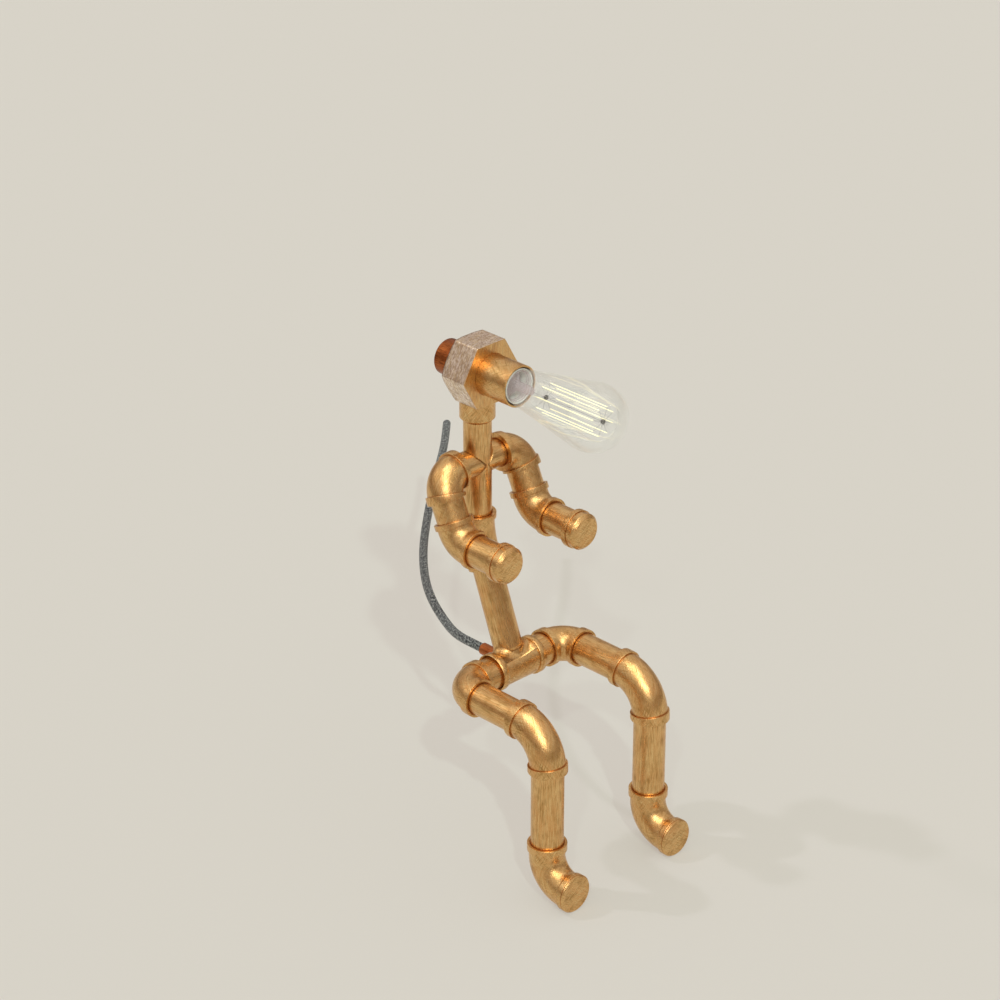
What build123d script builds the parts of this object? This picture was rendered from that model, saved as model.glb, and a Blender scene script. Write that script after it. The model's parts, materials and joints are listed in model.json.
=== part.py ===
from build123d import *
import os
from dataclasses import dataclass
from math import asin, atan2, cos, pi, radians, sin, sqrt, tan

# A pipe-fitting figure that sits on the edge of a shelf and holds a lamp in its head.
# Millimetres. X is to the figure's left, -Y is the way it faces, Z is up.
# The origin is on the seat, under the middle of the pelvis tee.

# Tube stock
limb_od = 28.0
limb_wall = 1.0
riser_od = 24.2
spine_od = 25.4
spine_wall = 1.2

# Solder fittings
body_wall = 1.4
rim_od = 34.0
rim_length = 6.5
arm_rim_length = 4.8
rim_chamfer = 0.6
lip = 1.0
recess_depth = 2.4
socket_depth = 7.5
arm_socket_depth = 5.5
fixed_gap = 0.03
turning_gap = 0.05
end_gap = 0.3
overcut = 1.0

# Pelvis and legs
hip_half_width = 61.8
tee_half_length = 25.5
tee_branch = 27.0
tee_fillet = 6.0
hip_reach = 24.3
hip_bend = 20.0
thigh_length = 104.2
knee_reach = 35.3
knee_bend = 33.0
shin_length = 141.7
ankle_reach = 36.6
ankle_bend = 25.0
toe_reach = 32.4
toe_rim_edge = 1.5
toe_plug_thick = 2.0
toe_plug_edge = 1.2
plug_spigot = 5.0

# Spine
spine_lean = 20.9
waist_height = 110.8
waist_body_od = 28.4
waist_rim_od = 31.8
waist_reach_down = 31.0
waist_reach_up = 20.1
waist_bend_radius = 90.0

# Shoulders and arms
shoulder_height = 178.2
shoulder_half_width = 44.1
shoulder_reach = 20.5
shoulder_bend = 19.0
arm_lean = 25.4
upper_arm_length = 58.5
arm_elbow_reach = 20.5
arm_elbow_bend = 21.0
forearm_length = 60.2
cap_od = 32.2
cap_length = 13.8
cap_edge = 2.9
cap_wall = 2.0

# Head
head_height = 263.2
head_across_corners = 63.5
head_front = 16.7
head_thick = 28.0
head_rear_chamfer = 4.3
head_rear_chamfer_depth = 2.0
head_rear_wall = 4.0
collar_od = 30.4
collar_height = 18.6
collar_edge = 2.8
collar_top_wall = 2.5
barrel_od = 36.4
barrel_wall = 1.6
barrel_length = 33.5
barrel_edge = 0.4
barrel_insert = 10.0
wire_hole_d = 6.0

# Lamp holder and switch
holder_gap = 0.2
holder_setback = 16.0
holder_length = 28.0
holder_base = 5.0
shell_od = 27.9
shell_wall = 0.4
shell_setback = 0.5
contact_d = 8.0
screw_d = 3.5
screw_head = 1.6
screw_spacing = 16.0
switch_body_d = 24.0
switch_body_length = 6.5
bush_d = 9.0
bush_proud = 3.0
nut_across_flats = 13.0
nut_thick = 2.0
shaft_d = 6.0
knob_od = 31.4
knob_length = 24.2
knob_wall = 2.0
knob_edge = 1.0
knob_boss_d = 12.0
knob_clear = 1.0

# Bulb
bulb_d = 58.4
bulb_reach = 83.2
bulb_neck_d = 25.8
glass_wall = 0.7
bulb_cap_od = 26.4
bulb_cap_wall = 0.5
bulb_cap_length = 18.0
bulb_cap_proud = 1.0
cap_thread_pitch = 3.6
cap_thread_height = 0.5
cap_thread_start = 1.8
insulator_length = 4.0
insulator_ledge = 1.0
tip_d = 9.0
tip_thick = 1.0
stem_tip = 15.2
stem_d = 8.0
stem_flare_d = 24.0
stem_flare_edge = 1.5
stem_flare_depth = 8.0
stem_pinch_d = 5.0
stem_pinch_length = 4.0
filament_count = 8
filament_cage_d = 25.0
filament_d = 1.2
filament_rear = 30.2
filament_front = 94.5
support_d = 0.9
spider_d = 4.0
spider_thick = 1.6

# Cord and its entry
cord_d = 8.0
gland_od = 10.6
gland_length = 20.8
gland_stub_d = 9.6
gland_edge = 0.6
cord_gap = 0.1
block_size = (20.0, 9.0, 9.0)
core_d = 2.2
core_spacing = 3.0
core_bend = 5.0
cord_arc_share = 0.45

limb_r = limb_od / 2
riser_r = riser_od / 2
spine_r = spine_od / 2
body_r = limb_r + body_wall
rim_r = rim_od / 2
bore_r = limb_r - limb_wall
pelvis_z = rim_r
waist_y = waist_height * tan(radians(spine_lean))
waist_z = pelvis_z + waist_height
shoulder_z = pelvis_z + shoulder_height
head_z = pelvis_z + head_height
head_r = head_across_corners / 2
head_flat_r = head_r * cos(radians(30))
head_front_y = waist_y - head_front
head_rear_y = head_front_y + head_thick
mouth_y = head_front_y - barrel_length
barrel_bore_r = barrel_od / 2 - barrel_wall
cavity_rear_y = head_rear_y - head_rear_wall
bulb_center_y = mouth_y - bulb_reach
holder_front_y = mouth_y + holder_setback
holder_rear_y = holder_front_y + holder_length
holder_floor_y = holder_rear_y - holder_base
bulb_cap_front_y = holder_front_y - bulb_cap_proud
bulb_cap_rear_y = bulb_cap_front_y + bulb_cap_length
bulb_tip_y = bulb_cap_rear_y + insulator_length + tip_thick
switch_front_y = cavity_rear_y - switch_body_length
wire_y = (holder_rear_y + screw_head + switch_front_y) / 2
collar_top_z = head_z - head_flat_r
riser_top_z = collar_top_z - collar_top_wall - end_gap

forward = Vector(0, -1, 0)
backward = Vector(0, 1, 0)
up = Vector(0, 0, 1)
down = Vector(0, 0, -1)
spine_up = Vector(0, sin(radians(spine_lean)), cos(radians(spine_lean)))
arm_down = Vector(0, -sin(radians(arm_lean)), -cos(radians(arm_lean)))
pelvis = Vector(0, 0, pelvis_z)
waist = Vector(0, waist_y, waist_z)
head = Vector(0, 0, head_z)

# The cord's points, chosen by eye along its line on the seat.
cord_points = [
    (0.0, 36.2, 17.0),
    (0.0, 57.5, 17.0),
    (8.0, 80.0, 9.5),
    (21.5, 101.0, 4.2),
    (35.0, 132.0, 4.0),
    (58.0, 170.5, 4.0),
    (99.0, 219.0, 4.0),
    (150.5, 267.5, 4.0),
    (212.0, 322.0, 4.0),
    (269.0, 368.0, 4.0),
    (312.0, 409.5, 4.0),
]


def facing(solid, origin, direction):
    """Move a solid made on +Z at the origin to a point, turned to a direction."""
    return Plane(origin=origin, z_dir=direction) * solid


def rod(start, end, radius):
    """A round bar from one point to another."""
    axis = end - start
    bar = Cylinder(radius, axis.length, align=(Align.CENTER, Align.CENTER, Align.MIN))
    return facing(bar, start, axis.normalized())


def pipe(start, end, outer_r, inner_r):
    """A straight tube from one point to another."""
    run = (end - start).normalized()
    return rod(start, end, outer_r) - rod(start - run * overcut, end + run * overcut, inner_r)


def swept(path, radius):
    """A round bar along a path."""
    return sweep(Plane(origin=path @ 0, z_dir=path % 0) * Circle(radius), path)


def edged_disc(radius, length, low_edge, high_edge):
    """A disc on +Z whose two round edges are chamfered."""
    points = [(0, 0), (radius - low_edge, 0)]
    if low_edge:
        points.append((radius, low_edge))
    points.append((radius, length - high_edge))
    if high_edge:
        points.append((radius - high_edge, length))
    profile = Polyline(*points, (0, length), close=True)
    return revolve(Plane.XZ * make_face(profile), Axis.Z)


@dataclass
class Mouth:
    """One socket of a fitting: where it points and what tube it takes."""

    direction: Vector
    reach: float
    tube_r: float
    gap: float
    depth: float
    rim: float = rim_length
    rim_r: float = rim_r
    back_edge: float = rim_chamfer

    def face(self, corner):
        """The middle of the socket's open end."""
        return corner + self.direction * self.reach

    def stop(self, corner):
        """The middle of the shoulder that the tube stops at."""
        return corner + self.direction * (self.reach - self.depth)

    def bead(self, corner):
        """The raised ring round the open end."""
        ring = edged_disc(self.rim_r, self.rim, rim_chamfer, self.back_edge)
        return facing(ring, self.face(corner), self.direction * -1)

    def hollow(self, corner):
        """The socket and the recess inside the lip, as a tool that cuts them."""
        face = self.face(corner)
        proud = face + self.direction * overcut
        socket = rod(self.stop(corner), proud, self.tube_r + self.gap)
        recess = rod(face - self.direction * recess_depth, proud, self.rim_r - lip)
        return socket + recess


def fitting(corner, mouths, outer_r, passage_r, bend):
    """A bent fitting with a bead, a recess and a socket at each mouth."""
    first, second = mouths
    line = FilletPolyline(first.face(corner), corner, second.face(corner), radius=bend)
    solid = swept(line, outer_r)
    for mouth in mouths:
        solid += mouth.bead(corner)
    solid -= swept(line, passage_r)
    for mouth in mouths:
        solid -= mouth.hollow(corner)
    return solid


def make_pelvis_tee():
    """The tee that the legs, the spine and the cord's gland enter."""
    left = Mouth(Vector(1, 0, 0), tee_half_length, limb_r, fixed_gap, socket_depth)
    right = Mouth(Vector(-1, 0, 0), tee_half_length, limb_r, fixed_gap, socket_depth)
    run = rod(left.face(pelvis), right.face(pelvis), body_r)
    branch = rod(pelvis, pelvis + spine_up * tee_branch, spine_r)
    solid = run + branch
    root = new_edges(run, branch, combined=solid)
    solid = fillet(root, tee_fillet)
    for mouth in (left, right):
        solid += mouth.bead(pelvis)
    solid -= rod(left.face(pelvis), right.face(pelvis), bore_r)
    solid -= rod(pelvis, pelvis + spine_up * (tee_branch + overcut), spine_r - spine_wall)
    solid -= rod(pelvis, pelvis + backward * rim_r, gland_stub_d / 2 + fixed_gap)
    solid -= rod(pelvis + backward * body_r, pelvis + backward * tee_half_length, gland_od / 2 + fixed_gap)
    for mouth in (left, right):
        solid -= mouth.hollow(pelvis)
    return solid


def waist_mouths():
    """The waist elbow's two sockets: the leaning tube's and the upright tube's."""
    rims = {"depth": socket_depth, "rim": arm_rim_length, "rim_r": waist_rim_od / 2}
    lower = Mouth(spine_up * -1, waist_reach_down, spine_r, fixed_gap, **rims)
    upper = Mouth(up, waist_reach_up, riser_r, fixed_gap, **rims)
    return lower, upper


def riser_ends():
    """The two ends of the upright tube."""
    _, waist_up = waist_mouths()
    return waist_up.stop(waist) + up * fixed_gap, Vector(0, waist_y, riser_top_z)


def make_spine():
    """The leaning tube, the waist bend and the upright tube."""
    waist_down, waist_up = waist_mouths()
    lower_start = pelvis + spine_up * (tee_branch + fixed_gap)
    lower_end = waist_down.stop(waist) - spine_up * fixed_gap
    lower = pipe(lower_start, lower_end, spine_r, spine_r - spine_wall)
    mouths = (waist_down, waist_up)
    elbow = fitting(waist, mouths, waist_body_od / 2, riser_r - spine_wall, waist_bend_radius)
    riser = pipe(*riser_ends(), riser_r, riser_r - spine_wall)
    return lower, elbow, riser


def shoulder_mouths(side):
    """The shoulder elbow's two sockets: the bar's and the upper arm's."""
    inner = Vector(-side, 0, 0)
    bar = Mouth(inner, shoulder_reach, riser_r, turning_gap, arm_socket_depth, arm_rim_length)
    arm = Mouth(arm_down, shoulder_reach, limb_r, fixed_gap, arm_socket_depth, arm_rim_length)
    return bar, arm


def make_shoulder_bar():
    """Two half bars, each cut to saddle on the upright tube and brazed to it."""
    seat = rod(*riser_ends(), riser_r + fixed_gap)
    halves = []
    for side in (-1, 1):
        corner = Vector(side * shoulder_half_width, waist_y, shoulder_z)
        bar, _ = shoulder_mouths(side)
        end = bar.stop(corner) + bar.direction * end_gap
        middle = Vector(side * fixed_gap, waist_y, shoulder_z)
        halves.append(pipe(middle, end, riser_r, riser_r - spine_wall) - seat)
    return Compound(children=[solid for half in halves for solid in half.solids()])


def make_hand_cap(start):
    """A closed end cap with a bead at its mouth and a wide chamfer round its face."""
    mouth = Mouth(backward, 0, limb_r, fixed_gap, arm_socket_depth, arm_rim_length)
    cap = facing(edged_disc(cap_od / 2, cap_length, 0, cap_edge), start, forward)
    cap += mouth.bead(start)
    cap -= rod(start, start + forward * (cap_length - cap_wall), bore_r)
    return cap - mouth.hollow(start)


def make_arm(side):
    """Shoulder elbow, upper arm, arm elbow, forearm and hand cap."""
    corner = Vector(side * shoulder_half_width, waist_y, shoulder_z)
    bar, arm = shoulder_mouths(side)
    elbow_corner = corner + arm_down * upper_arm_length
    upper = Mouth(arm_down * -1, arm_elbow_reach, limb_r, turning_gap, arm_socket_depth, arm_rim_length)
    lower = Mouth(forward, arm_elbow_reach, limb_r, fixed_gap, arm_socket_depth, arm_rim_length)
    shoulder = fitting(corner, (bar, arm), body_r, riser_r - spine_wall, shoulder_bend)
    tube_start = arm.stop(corner) + arm_down * fixed_gap
    tube_end = upper.stop(elbow_corner) - arm_down * end_gap
    upper_arm = pipe(tube_start, tube_end, limb_r, bore_r)
    elbow = fitting(elbow_corner, (upper, lower), body_r, bore_r, arm_elbow_bend)
    cap_start = elbow_corner + forward * (forearm_length - cap_length)
    cap_stop = cap_start + forward * arm_socket_depth
    forearm_start = lower.stop(elbow_corner) + forward * fixed_gap
    forearm = pipe(forearm_start, cap_stop + backward * fixed_gap, limb_r, bore_r)
    return {
        "shoulder_elbow": shoulder,
        "upper_arm_tube": upper_arm,
        "arm_elbow": elbow,
        "forearm_tube": forearm,
        "hand_cap": make_hand_cap(cap_start),
    }


def make_leg(side):
    """Hip elbow, thigh, knee elbow, shin, ankle elbow and toe plug."""
    outward = Vector(side, 0, 0)
    hip_corner = pelvis + outward * hip_half_width
    knee_corner = hip_corner + forward * thigh_length
    ankle_corner = knee_corner + down * shin_length
    tee_mouth = Mouth(outward, tee_half_length, limb_r, fixed_gap, socket_depth)
    hip_in = Mouth(outward * -1, hip_reach, limb_r, turning_gap, arm_socket_depth)
    hip_out = Mouth(forward, hip_reach, limb_r, fixed_gap, arm_socket_depth)
    knee_in = Mouth(backward, knee_reach, limb_r, fixed_gap, socket_depth)
    knee_out = Mouth(down, knee_reach, limb_r, fixed_gap, socket_depth)
    ankle_in = Mouth(up, ankle_reach, limb_r, turning_gap, socket_depth)
    nipple_start = tee_mouth.stop(pelvis) + outward * fixed_gap
    nipple_end = hip_in.stop(hip_corner) - outward * end_gap
    thigh_start = hip_out.stop(hip_corner) + forward * fixed_gap
    thigh_end = knee_in.stop(knee_corner) + backward * fixed_gap
    shin_start = knee_out.stop(knee_corner) + down * fixed_gap
    shin_end = ankle_in.stop(ankle_corner) + up * end_gap
    return {
        "hip_nipple": pipe(nipple_start, nipple_end, limb_r, bore_r),
        "hip_elbow": fitting(hip_corner, (hip_in, hip_out), body_r, bore_r, hip_bend),
        "thigh_tube": pipe(thigh_start, thigh_end, limb_r, bore_r),
        "knee_elbow": fitting(knee_corner, (knee_in, knee_out), body_r, bore_r, knee_bend),
        "shin_tube": pipe(shin_start, shin_end, limb_r, bore_r),
        "ankle_elbow": make_ankle_elbow(ankle_corner, ankle_in),
        "toe_plug": make_toe_plug(ankle_corner + forward * toe_reach),
    }


def make_ankle_elbow(corner, ankle_in):
    """The foot: a bend with a bead at each end, whose front end the plug closes."""
    toe = Mouth(forward, toe_reach, limb_r, fixed_gap, socket_depth, back_edge=toe_rim_edge)
    front = toe.face(corner)
    line = FilletPolyline(ankle_in.face(corner), corner, front, radius=ankle_bend)
    through = FilletPolyline(ankle_in.face(corner), corner, front + forward * overcut, radius=ankle_bend)
    solid = swept(line, body_r) + ankle_in.bead(corner) + toe.bead(corner)
    return solid - swept(through, bore_r) - ankle_in.hollow(corner)


def make_toe_plug(toe):
    """A disc on a spigot that closes the foot."""
    start = toe + forward * fixed_gap
    disc = facing(edged_disc(rim_r, toe_plug_thick, 0, toe_plug_edge), start, forward)
    spigot = pipe(start + backward * plug_spigot, start, bore_r - fixed_gap, bore_r - body_wall)
    return disc + spigot


def on_axis(y):
    """A point on the head's axis."""
    return head + backward * y


def make_head():
    """Collar, hexagonal block and face barrel."""
    collar_base = Vector(0, waist_y, collar_top_z - collar_height)
    collar_top = Vector(0, waist_y, collar_top_z)
    wire_low = Vector(0, wire_y, riser_top_z)
    wire_top = Vector(0, wire_y, head_z)
    wire_way = rod(wire_low, wire_top, wire_hole_d / 2)
    collar = facing(edged_disc(collar_od / 2, collar_height, collar_edge, 0), collar_base, up)
    collar -= rod(collar_base + down * overcut, collar_top + down * collar_top_wall, riser_r + turning_gap)
    collar -= wire_way

    front = on_axis(head_front_y)
    hexagon = RegularPolygon(head_r, 6, rotation=30)
    block = facing(extrude(hexagon, head_thick), front, backward)
    nut_shape = Polyline(
        (0, 0),
        (head_r + overcut, 0),
        (head_r + overcut, head_thick - head_rear_chamfer_depth),
        (head_r, head_thick - head_rear_chamfer_depth),
        (head_r - head_rear_chamfer, head_thick),
        (0, head_thick),
        close=True,
    )
    block &= facing(revolve(Plane.XZ * make_face(nut_shape), Axis.Z), front, backward)
    block -= rod(front + forward * overcut, on_axis(cavity_rear_y), barrel_od / 2 + fixed_gap)
    block -= rod(front, on_axis(head_rear_y + overcut), bush_d / 2 + fixed_gap)
    block -= wire_way

    barrel_rear_y = head_front_y + barrel_insert
    barrel = edged_disc(barrel_od / 2, barrel_rear_y - mouth_y, barrel_edge, 0)
    barrel = facing(barrel, on_axis(mouth_y), backward)
    barrel -= rod(on_axis(mouth_y - overcut), on_axis(barrel_rear_y + overcut), barrel_bore_r)
    return collar, block, barrel


def turned_profile(points):
    """A solid turned about the head's axis, from (y, radius) points."""
    outline = Polyline(*[(radius, y) for y, radius in points], close=True)
    return facing(revolve(Plane.XZ * make_face(outline), Axis.Z), head, backward)


def make_holder():
    """The ceramic lamp holder, its screw shell, centre contact and terminal screws."""
    body = rod(on_axis(holder_front_y), on_axis(holder_rear_y), barrel_bore_r - holder_gap)
    body -= rod(on_axis(holder_front_y - overcut), on_axis(holder_floor_y), shell_od / 2 + fixed_gap)
    shell_front = on_axis(holder_front_y + shell_setback)
    shell_rear = on_axis(holder_floor_y - fixed_gap)
    shell = pipe(shell_front, shell_rear, shell_od / 2, shell_od / 2 - shell_wall)
    contact = rod(on_axis(bulb_tip_y + end_gap), shell_rear, contact_d / 2)
    screws = []
    for side in (-1, 1):
        seat = on_axis(holder_rear_y + fixed_gap) + Vector(side * screw_spacing / 2, 0, 0)
        screws.append(rod(seat, seat + backward * screw_head, screw_d / 2))
    return body, shell, contact, Compound(children=screws)


def make_switch():
    """The rotary switch behind the holder, its nut, and the shaft and knob that turn."""
    rear = on_axis(cavity_rear_y - fixed_gap)
    middle = rear + forward * (switch_body_length / 2)
    body = rod(rear + forward * switch_body_length, rear, switch_body_d / 2)
    bush_end = on_axis(head_rear_y + bush_proud)
    body += rod(rear, bush_end, bush_d / 2)
    body -= rod(middle, bush_end + backward * overcut, shaft_d / 2 + turning_gap)
    nut_front = on_axis(head_rear_y + fixed_gap)
    hexagon = RegularPolygon(nut_across_flats / 2, 6, major_radius=False)
    nut = facing(extrude(hexagon, nut_thick), nut_front, backward)
    nut_rear = nut_front + backward * nut_thick
    nut -= rod(nut_front + forward * overcut, nut_rear + backward * overcut, bush_d / 2 + fixed_gap)
    knob_front = on_axis(head_rear_y + knob_clear)
    knob_rear = knob_front + backward * knob_length
    knob = facing(edged_disc(knob_od / 2, knob_length, 0, knob_edge), knob_front, backward)
    inside_end = knob_rear + forward * knob_wall
    knob -= rod(knob_front + forward * overcut, inside_end, knob_od / 2 - knob_wall)
    boss_start = bush_end + backward * end_gap
    knob += rod(boss_start, inside_end, knob_boss_d / 2)
    shaft_end = inside_end + forward * end_gap
    knob -= rod(boss_start + forward * overcut, shaft_end, shaft_d / 2 + fixed_gap)
    shaft_start = middle + backward * end_gap
    shaft = rod(shaft_start, shaft_end + forward * fixed_gap, shaft_d / 2)
    return body, nut, knob, shaft


def bulb_outline(wall):
    """The glass's half section: a slim cone that meets a round end, as a closed face."""
    r = bulb_d / 2 - wall
    neck_r = bulb_neck_d / 2 - wall
    start_y = bulb_cap_front_y - fixed_gap
    run = start_y - bulb_center_y
    reach = sqrt(run * run + neck_r * neck_r)
    slope = asin(r / reach) - atan2(neck_r, run)
    touch_y = bulb_center_y + r * sin(slope)
    touch_r = r * cos(slope)
    cone = Line((neck_r, start_y), (touch_r, touch_y))
    quarter = radians(45) + slope / 2
    over = (r * sin(quarter), bulb_center_y - r * cos(quarter))
    round_end = ThreePointArc((touch_r, touch_y), over, (0, bulb_center_y - r))
    axis_line = Line((0, bulb_center_y - r), (0, start_y))
    neck_line = Line((0, start_y), (neck_r, start_y))
    return make_face([cone, round_end, axis_line, neck_line])


def make_bulb():
    """Glass, screw cap, insulator, tip contact, stem, supports and filaments."""
    outside, inside = [
        facing(revolve(Plane.XZ * bulb_outline(wall), Axis.Z), head, backward)
        for wall in (0, glass_wall)
    ]
    glass = outside - inside

    cap_r = bulb_cap_od / 2
    root_r = cap_r - cap_thread_height
    cap = pipe(on_axis(bulb_cap_front_y), on_axis(bulb_cap_rear_y), root_r, root_r - bulb_cap_wall)
    turns = int((bulb_cap_length - cap_thread_pitch) / cap_thread_pitch)
    cap_hollow = rod(on_axis(bulb_cap_front_y), on_axis(bulb_cap_rear_y), root_r - bulb_cap_wall)
    for turn in range(turns):
        place = on_axis(bulb_cap_front_y + cap_thread_start + cap_thread_pitch * turn)
        ridge = edged_disc(cap_r, cap_thread_pitch / 2, cap_thread_height, cap_thread_height)
        cap += facing(ridge, place, backward) - cap_hollow
    insulator = turned_profile([
        (bulb_cap_rear_y, 0),
        (bulb_cap_rear_y, root_r),
        (bulb_cap_rear_y + insulator_length, tip_d / 2 + insulator_ledge),
        (bulb_cap_rear_y + insulator_length, 0),
    ])
    tip_start = on_axis(bulb_cap_rear_y + insulator_length)
    tip = rod(tip_start, tip_start + backward * tip_thick, tip_d / 2)

    stem_start_y = bulb_cap_front_y - fixed_gap
    stem = turned_profile([
        (stem_start_y, 0),
        (stem_start_y, stem_flare_d / 2),
        (stem_start_y - stem_flare_edge, stem_flare_d / 2),
        (stem_start_y - stem_flare_depth, stem_d / 2),
        (mouth_y - stem_tip + stem_pinch_length, stem_d / 2),
        (mouth_y - stem_tip, stem_pinch_d / 2),
        (mouth_y - stem_tip, 0),
    ])
    return glass, cap, insulator, tip, stem


def make_filaments():
    """The centre rod with its two spiders, and the ring of straight filaments."""
    rear_y = mouth_y - filament_rear
    front_y = mouth_y - filament_front
    support = rod(on_axis(front_y), on_axis(mouth_y - stem_tip - fixed_gap), support_d / 2)
    cage_r = filament_cage_d / 2
    spoke_length = cage_r - filament_d / 2 - fixed_gap
    rods = []
    for y in (rear_y, front_y):
        support += rod(on_axis(y - spider_thick / 2), on_axis(y + spider_thick / 2), spider_d / 2)
    for index in range(filament_count):
        angle = radians(360 * (index + 0.5) / filament_count)
        out = Vector(cos(angle), 0, sin(angle))
        place = out * cage_r
        rods.append(rod(on_axis(front_y) + place, on_axis(rear_y) + place, filament_d / 2))
        for y in (rear_y, front_y):
            support += rod(on_axis(y), on_axis(y) + out * spoke_length, support_d / 2)
    return support, Compound(children=rods)


def make_cord():
    """The free cord: straight runs joined by tangent arcs, each as large as its runs allow."""
    points = [Vector(*point) for point in cord_points]
    radii = []
    for before, corner, after in zip(points, points[1:], points[2:]):
        turn = (corner - before).get_angle(after - corner)
        shorter = min((corner - before).length, (after - corner).length)
        radii.append(cord_arc_share * shorter / tan(radians(turn) / 2))
    path = FilletPolyline(*points, radius=radii)
    cord = swept(path, cord_d / 2)
    tube_volume = pi * cord_d * cord_d / 4 * path.length
    print("cord radii", [round(radius, 1) for radius in radii])
    print("cord length", round(path.length, 1), "volume ratio", round(cord.volume / tube_volume, 5))
    return cord


def make_cord_entry():
    """The gland, the cord's tail inside it, the terminal block and the cores up the spine."""
    gland_start = body_r + fixed_gap
    gland_end = pelvis + backward * (gland_start + gland_length)
    barrel = edged_disc(gland_od / 2, gland_length, 0, gland_edge)
    barrel = facing(barrel, pelvis + backward * gland_start, backward)
    stub = rod(pelvis + backward * bore_r, pelvis + backward * (gland_start + overcut), gland_stub_d / 2)
    bore = rod(pelvis, gland_end + backward * overcut, cord_d / 2 + cord_gap)
    gland = barrel + stub - bore
    length, width, height = block_size
    block_rear = width / 2
    tail_start = pelvis + backward * (block_rear + fixed_gap)
    tail = rod(tail_start, pelvis + backward * cord_points[0][1], cord_d / 2)
    block = Pos(0, 0, pelvis_z) * Box(length, width, height)
    cores = []
    for side in (-1, 1):
        shift = Vector(side * core_spacing / 2, 0, 0)
        path = FilletPolyline(
            pelvis + spine_up * (height / 2 + core_d) + shift,
            waist + shift,
            Vector(0, wire_y, riser_top_z) + shift,
            radius=waist_bend_radius,
        )
        cores.append(swept(path, core_d / 2))
    return gland, tail, block, Compound(children=cores)


def make_head_cores():
    """The two cores from the neck up between the holder and the switch to the terminals."""
    low_z = riser_top_z + end_gap
    cores = []
    for side in (-1, 1):
        low = Vector(side * core_spacing / 2, wire_y, low_z)
        turn = Vector(side * core_spacing / 2, wire_y, head_z - screw_spacing / 2)
        end = Vector(side * screw_spacing / 2, wire_y, head_z)
        cores.append(swept(FilletPolyline(low, turn, end, radius=core_bend), core_d / 2))
    return Compound(children=cores)


def build():
    """Every node of the lamp by name."""
    nodes = {"pelvis_tee": make_pelvis_tee()}
    nodes["lower_spine_tube"], nodes["waist_elbow"], nodes["upper_spine_tube"] = make_spine()
    nodes["shoulder_bar"] = make_shoulder_bar()
    for name, side in (("right", -1), ("left", 1)):
        for piece, solid in make_leg(side).items():
            nodes[f"{name}_{piece}"] = solid
        for piece, solid in make_arm(side).items():
            nodes[f"{name}_{piece}"] = solid
    nodes["head_collar"], nodes["head_block"], nodes["face_barrel"] = make_head()
    holder = ("lamp_holder", "screw_shell", "centre_contact", "terminal_screws")
    nodes.update(zip(holder, make_holder()))
    switch = ("rotary_switch", "switch_nut", "switch_knob", "switch_shaft")
    nodes.update(zip(switch, make_switch()))
    bulb = ("bulb_glass", "bulb_screw_cap", "bulb_insulator", "bulb_tip_contact", "bulb_stem")
    nodes.update(zip(bulb, make_bulb()))
    nodes["filament_supports"], nodes["filaments"] = make_filaments()
    entry = ("cord_gland", "cord_tail", "terminal_block", "spine_cores")
    nodes.update(zip(entry, make_cord_entry()))
    nodes["head_cores"] = make_head_cores()
    nodes["supply_cord"] = make_cord()
    return nodes


os.makedirs("parts", exist_ok=True)
for name, shape in build().items():
    export_step(shape, f"parts/{name}.step")
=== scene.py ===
import json
import logging
from abc import ABC, abstractmethod
from dataclasses import dataclass
from enum import Enum

import bmesh
import bpy
import numpy as np
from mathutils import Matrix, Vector


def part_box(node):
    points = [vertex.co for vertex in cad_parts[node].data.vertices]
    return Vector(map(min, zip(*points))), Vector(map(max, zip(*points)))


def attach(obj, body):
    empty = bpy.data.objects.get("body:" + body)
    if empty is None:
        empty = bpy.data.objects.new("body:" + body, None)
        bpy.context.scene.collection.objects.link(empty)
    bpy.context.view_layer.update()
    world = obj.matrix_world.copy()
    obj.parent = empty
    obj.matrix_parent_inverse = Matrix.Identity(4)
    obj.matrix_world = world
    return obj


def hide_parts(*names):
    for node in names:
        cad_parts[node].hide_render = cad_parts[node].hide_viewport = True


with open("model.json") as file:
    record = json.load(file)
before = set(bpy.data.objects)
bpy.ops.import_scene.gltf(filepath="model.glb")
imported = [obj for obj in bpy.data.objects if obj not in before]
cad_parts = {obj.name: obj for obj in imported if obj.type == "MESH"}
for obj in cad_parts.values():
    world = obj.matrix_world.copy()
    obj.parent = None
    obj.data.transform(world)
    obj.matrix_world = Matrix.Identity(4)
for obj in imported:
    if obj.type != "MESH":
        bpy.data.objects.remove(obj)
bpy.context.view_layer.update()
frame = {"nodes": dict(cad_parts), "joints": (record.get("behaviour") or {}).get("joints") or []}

log = logging.getLogger("pipe_figure_lamp")

Array = np.ndarray
Socket = bpy.types.NodeSocket

MM = 0.001
AROUND = 96
STATION = 1.2 * MM
EDGE_ROUND = 0.35 * MM
FINE_ROUND = 0.3 * MM
FIT = 0.03 * MM

UP = np.array([0.0, 0.0, 1.0])
FORWARD = np.array([0.0, -1.0, 0.0])
BACKWARD = -FORWARD
DOWN = -UP
LEFTWARD = np.array([1.0, 0.0, 0.0])


class Side(Enum):
    """The figure's own right and left."""

    RIGHT = -1
    LEFT = 1

    @property
    def word(self) -> str:
        """The side's name as the frame's nodes spell it."""
        return self.name.lower()


class Brushing(Enum):
    """Which way the abrasive was drawn over a metal surface."""

    ALONG = "along"
    CROSSED = "crossed"


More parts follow.
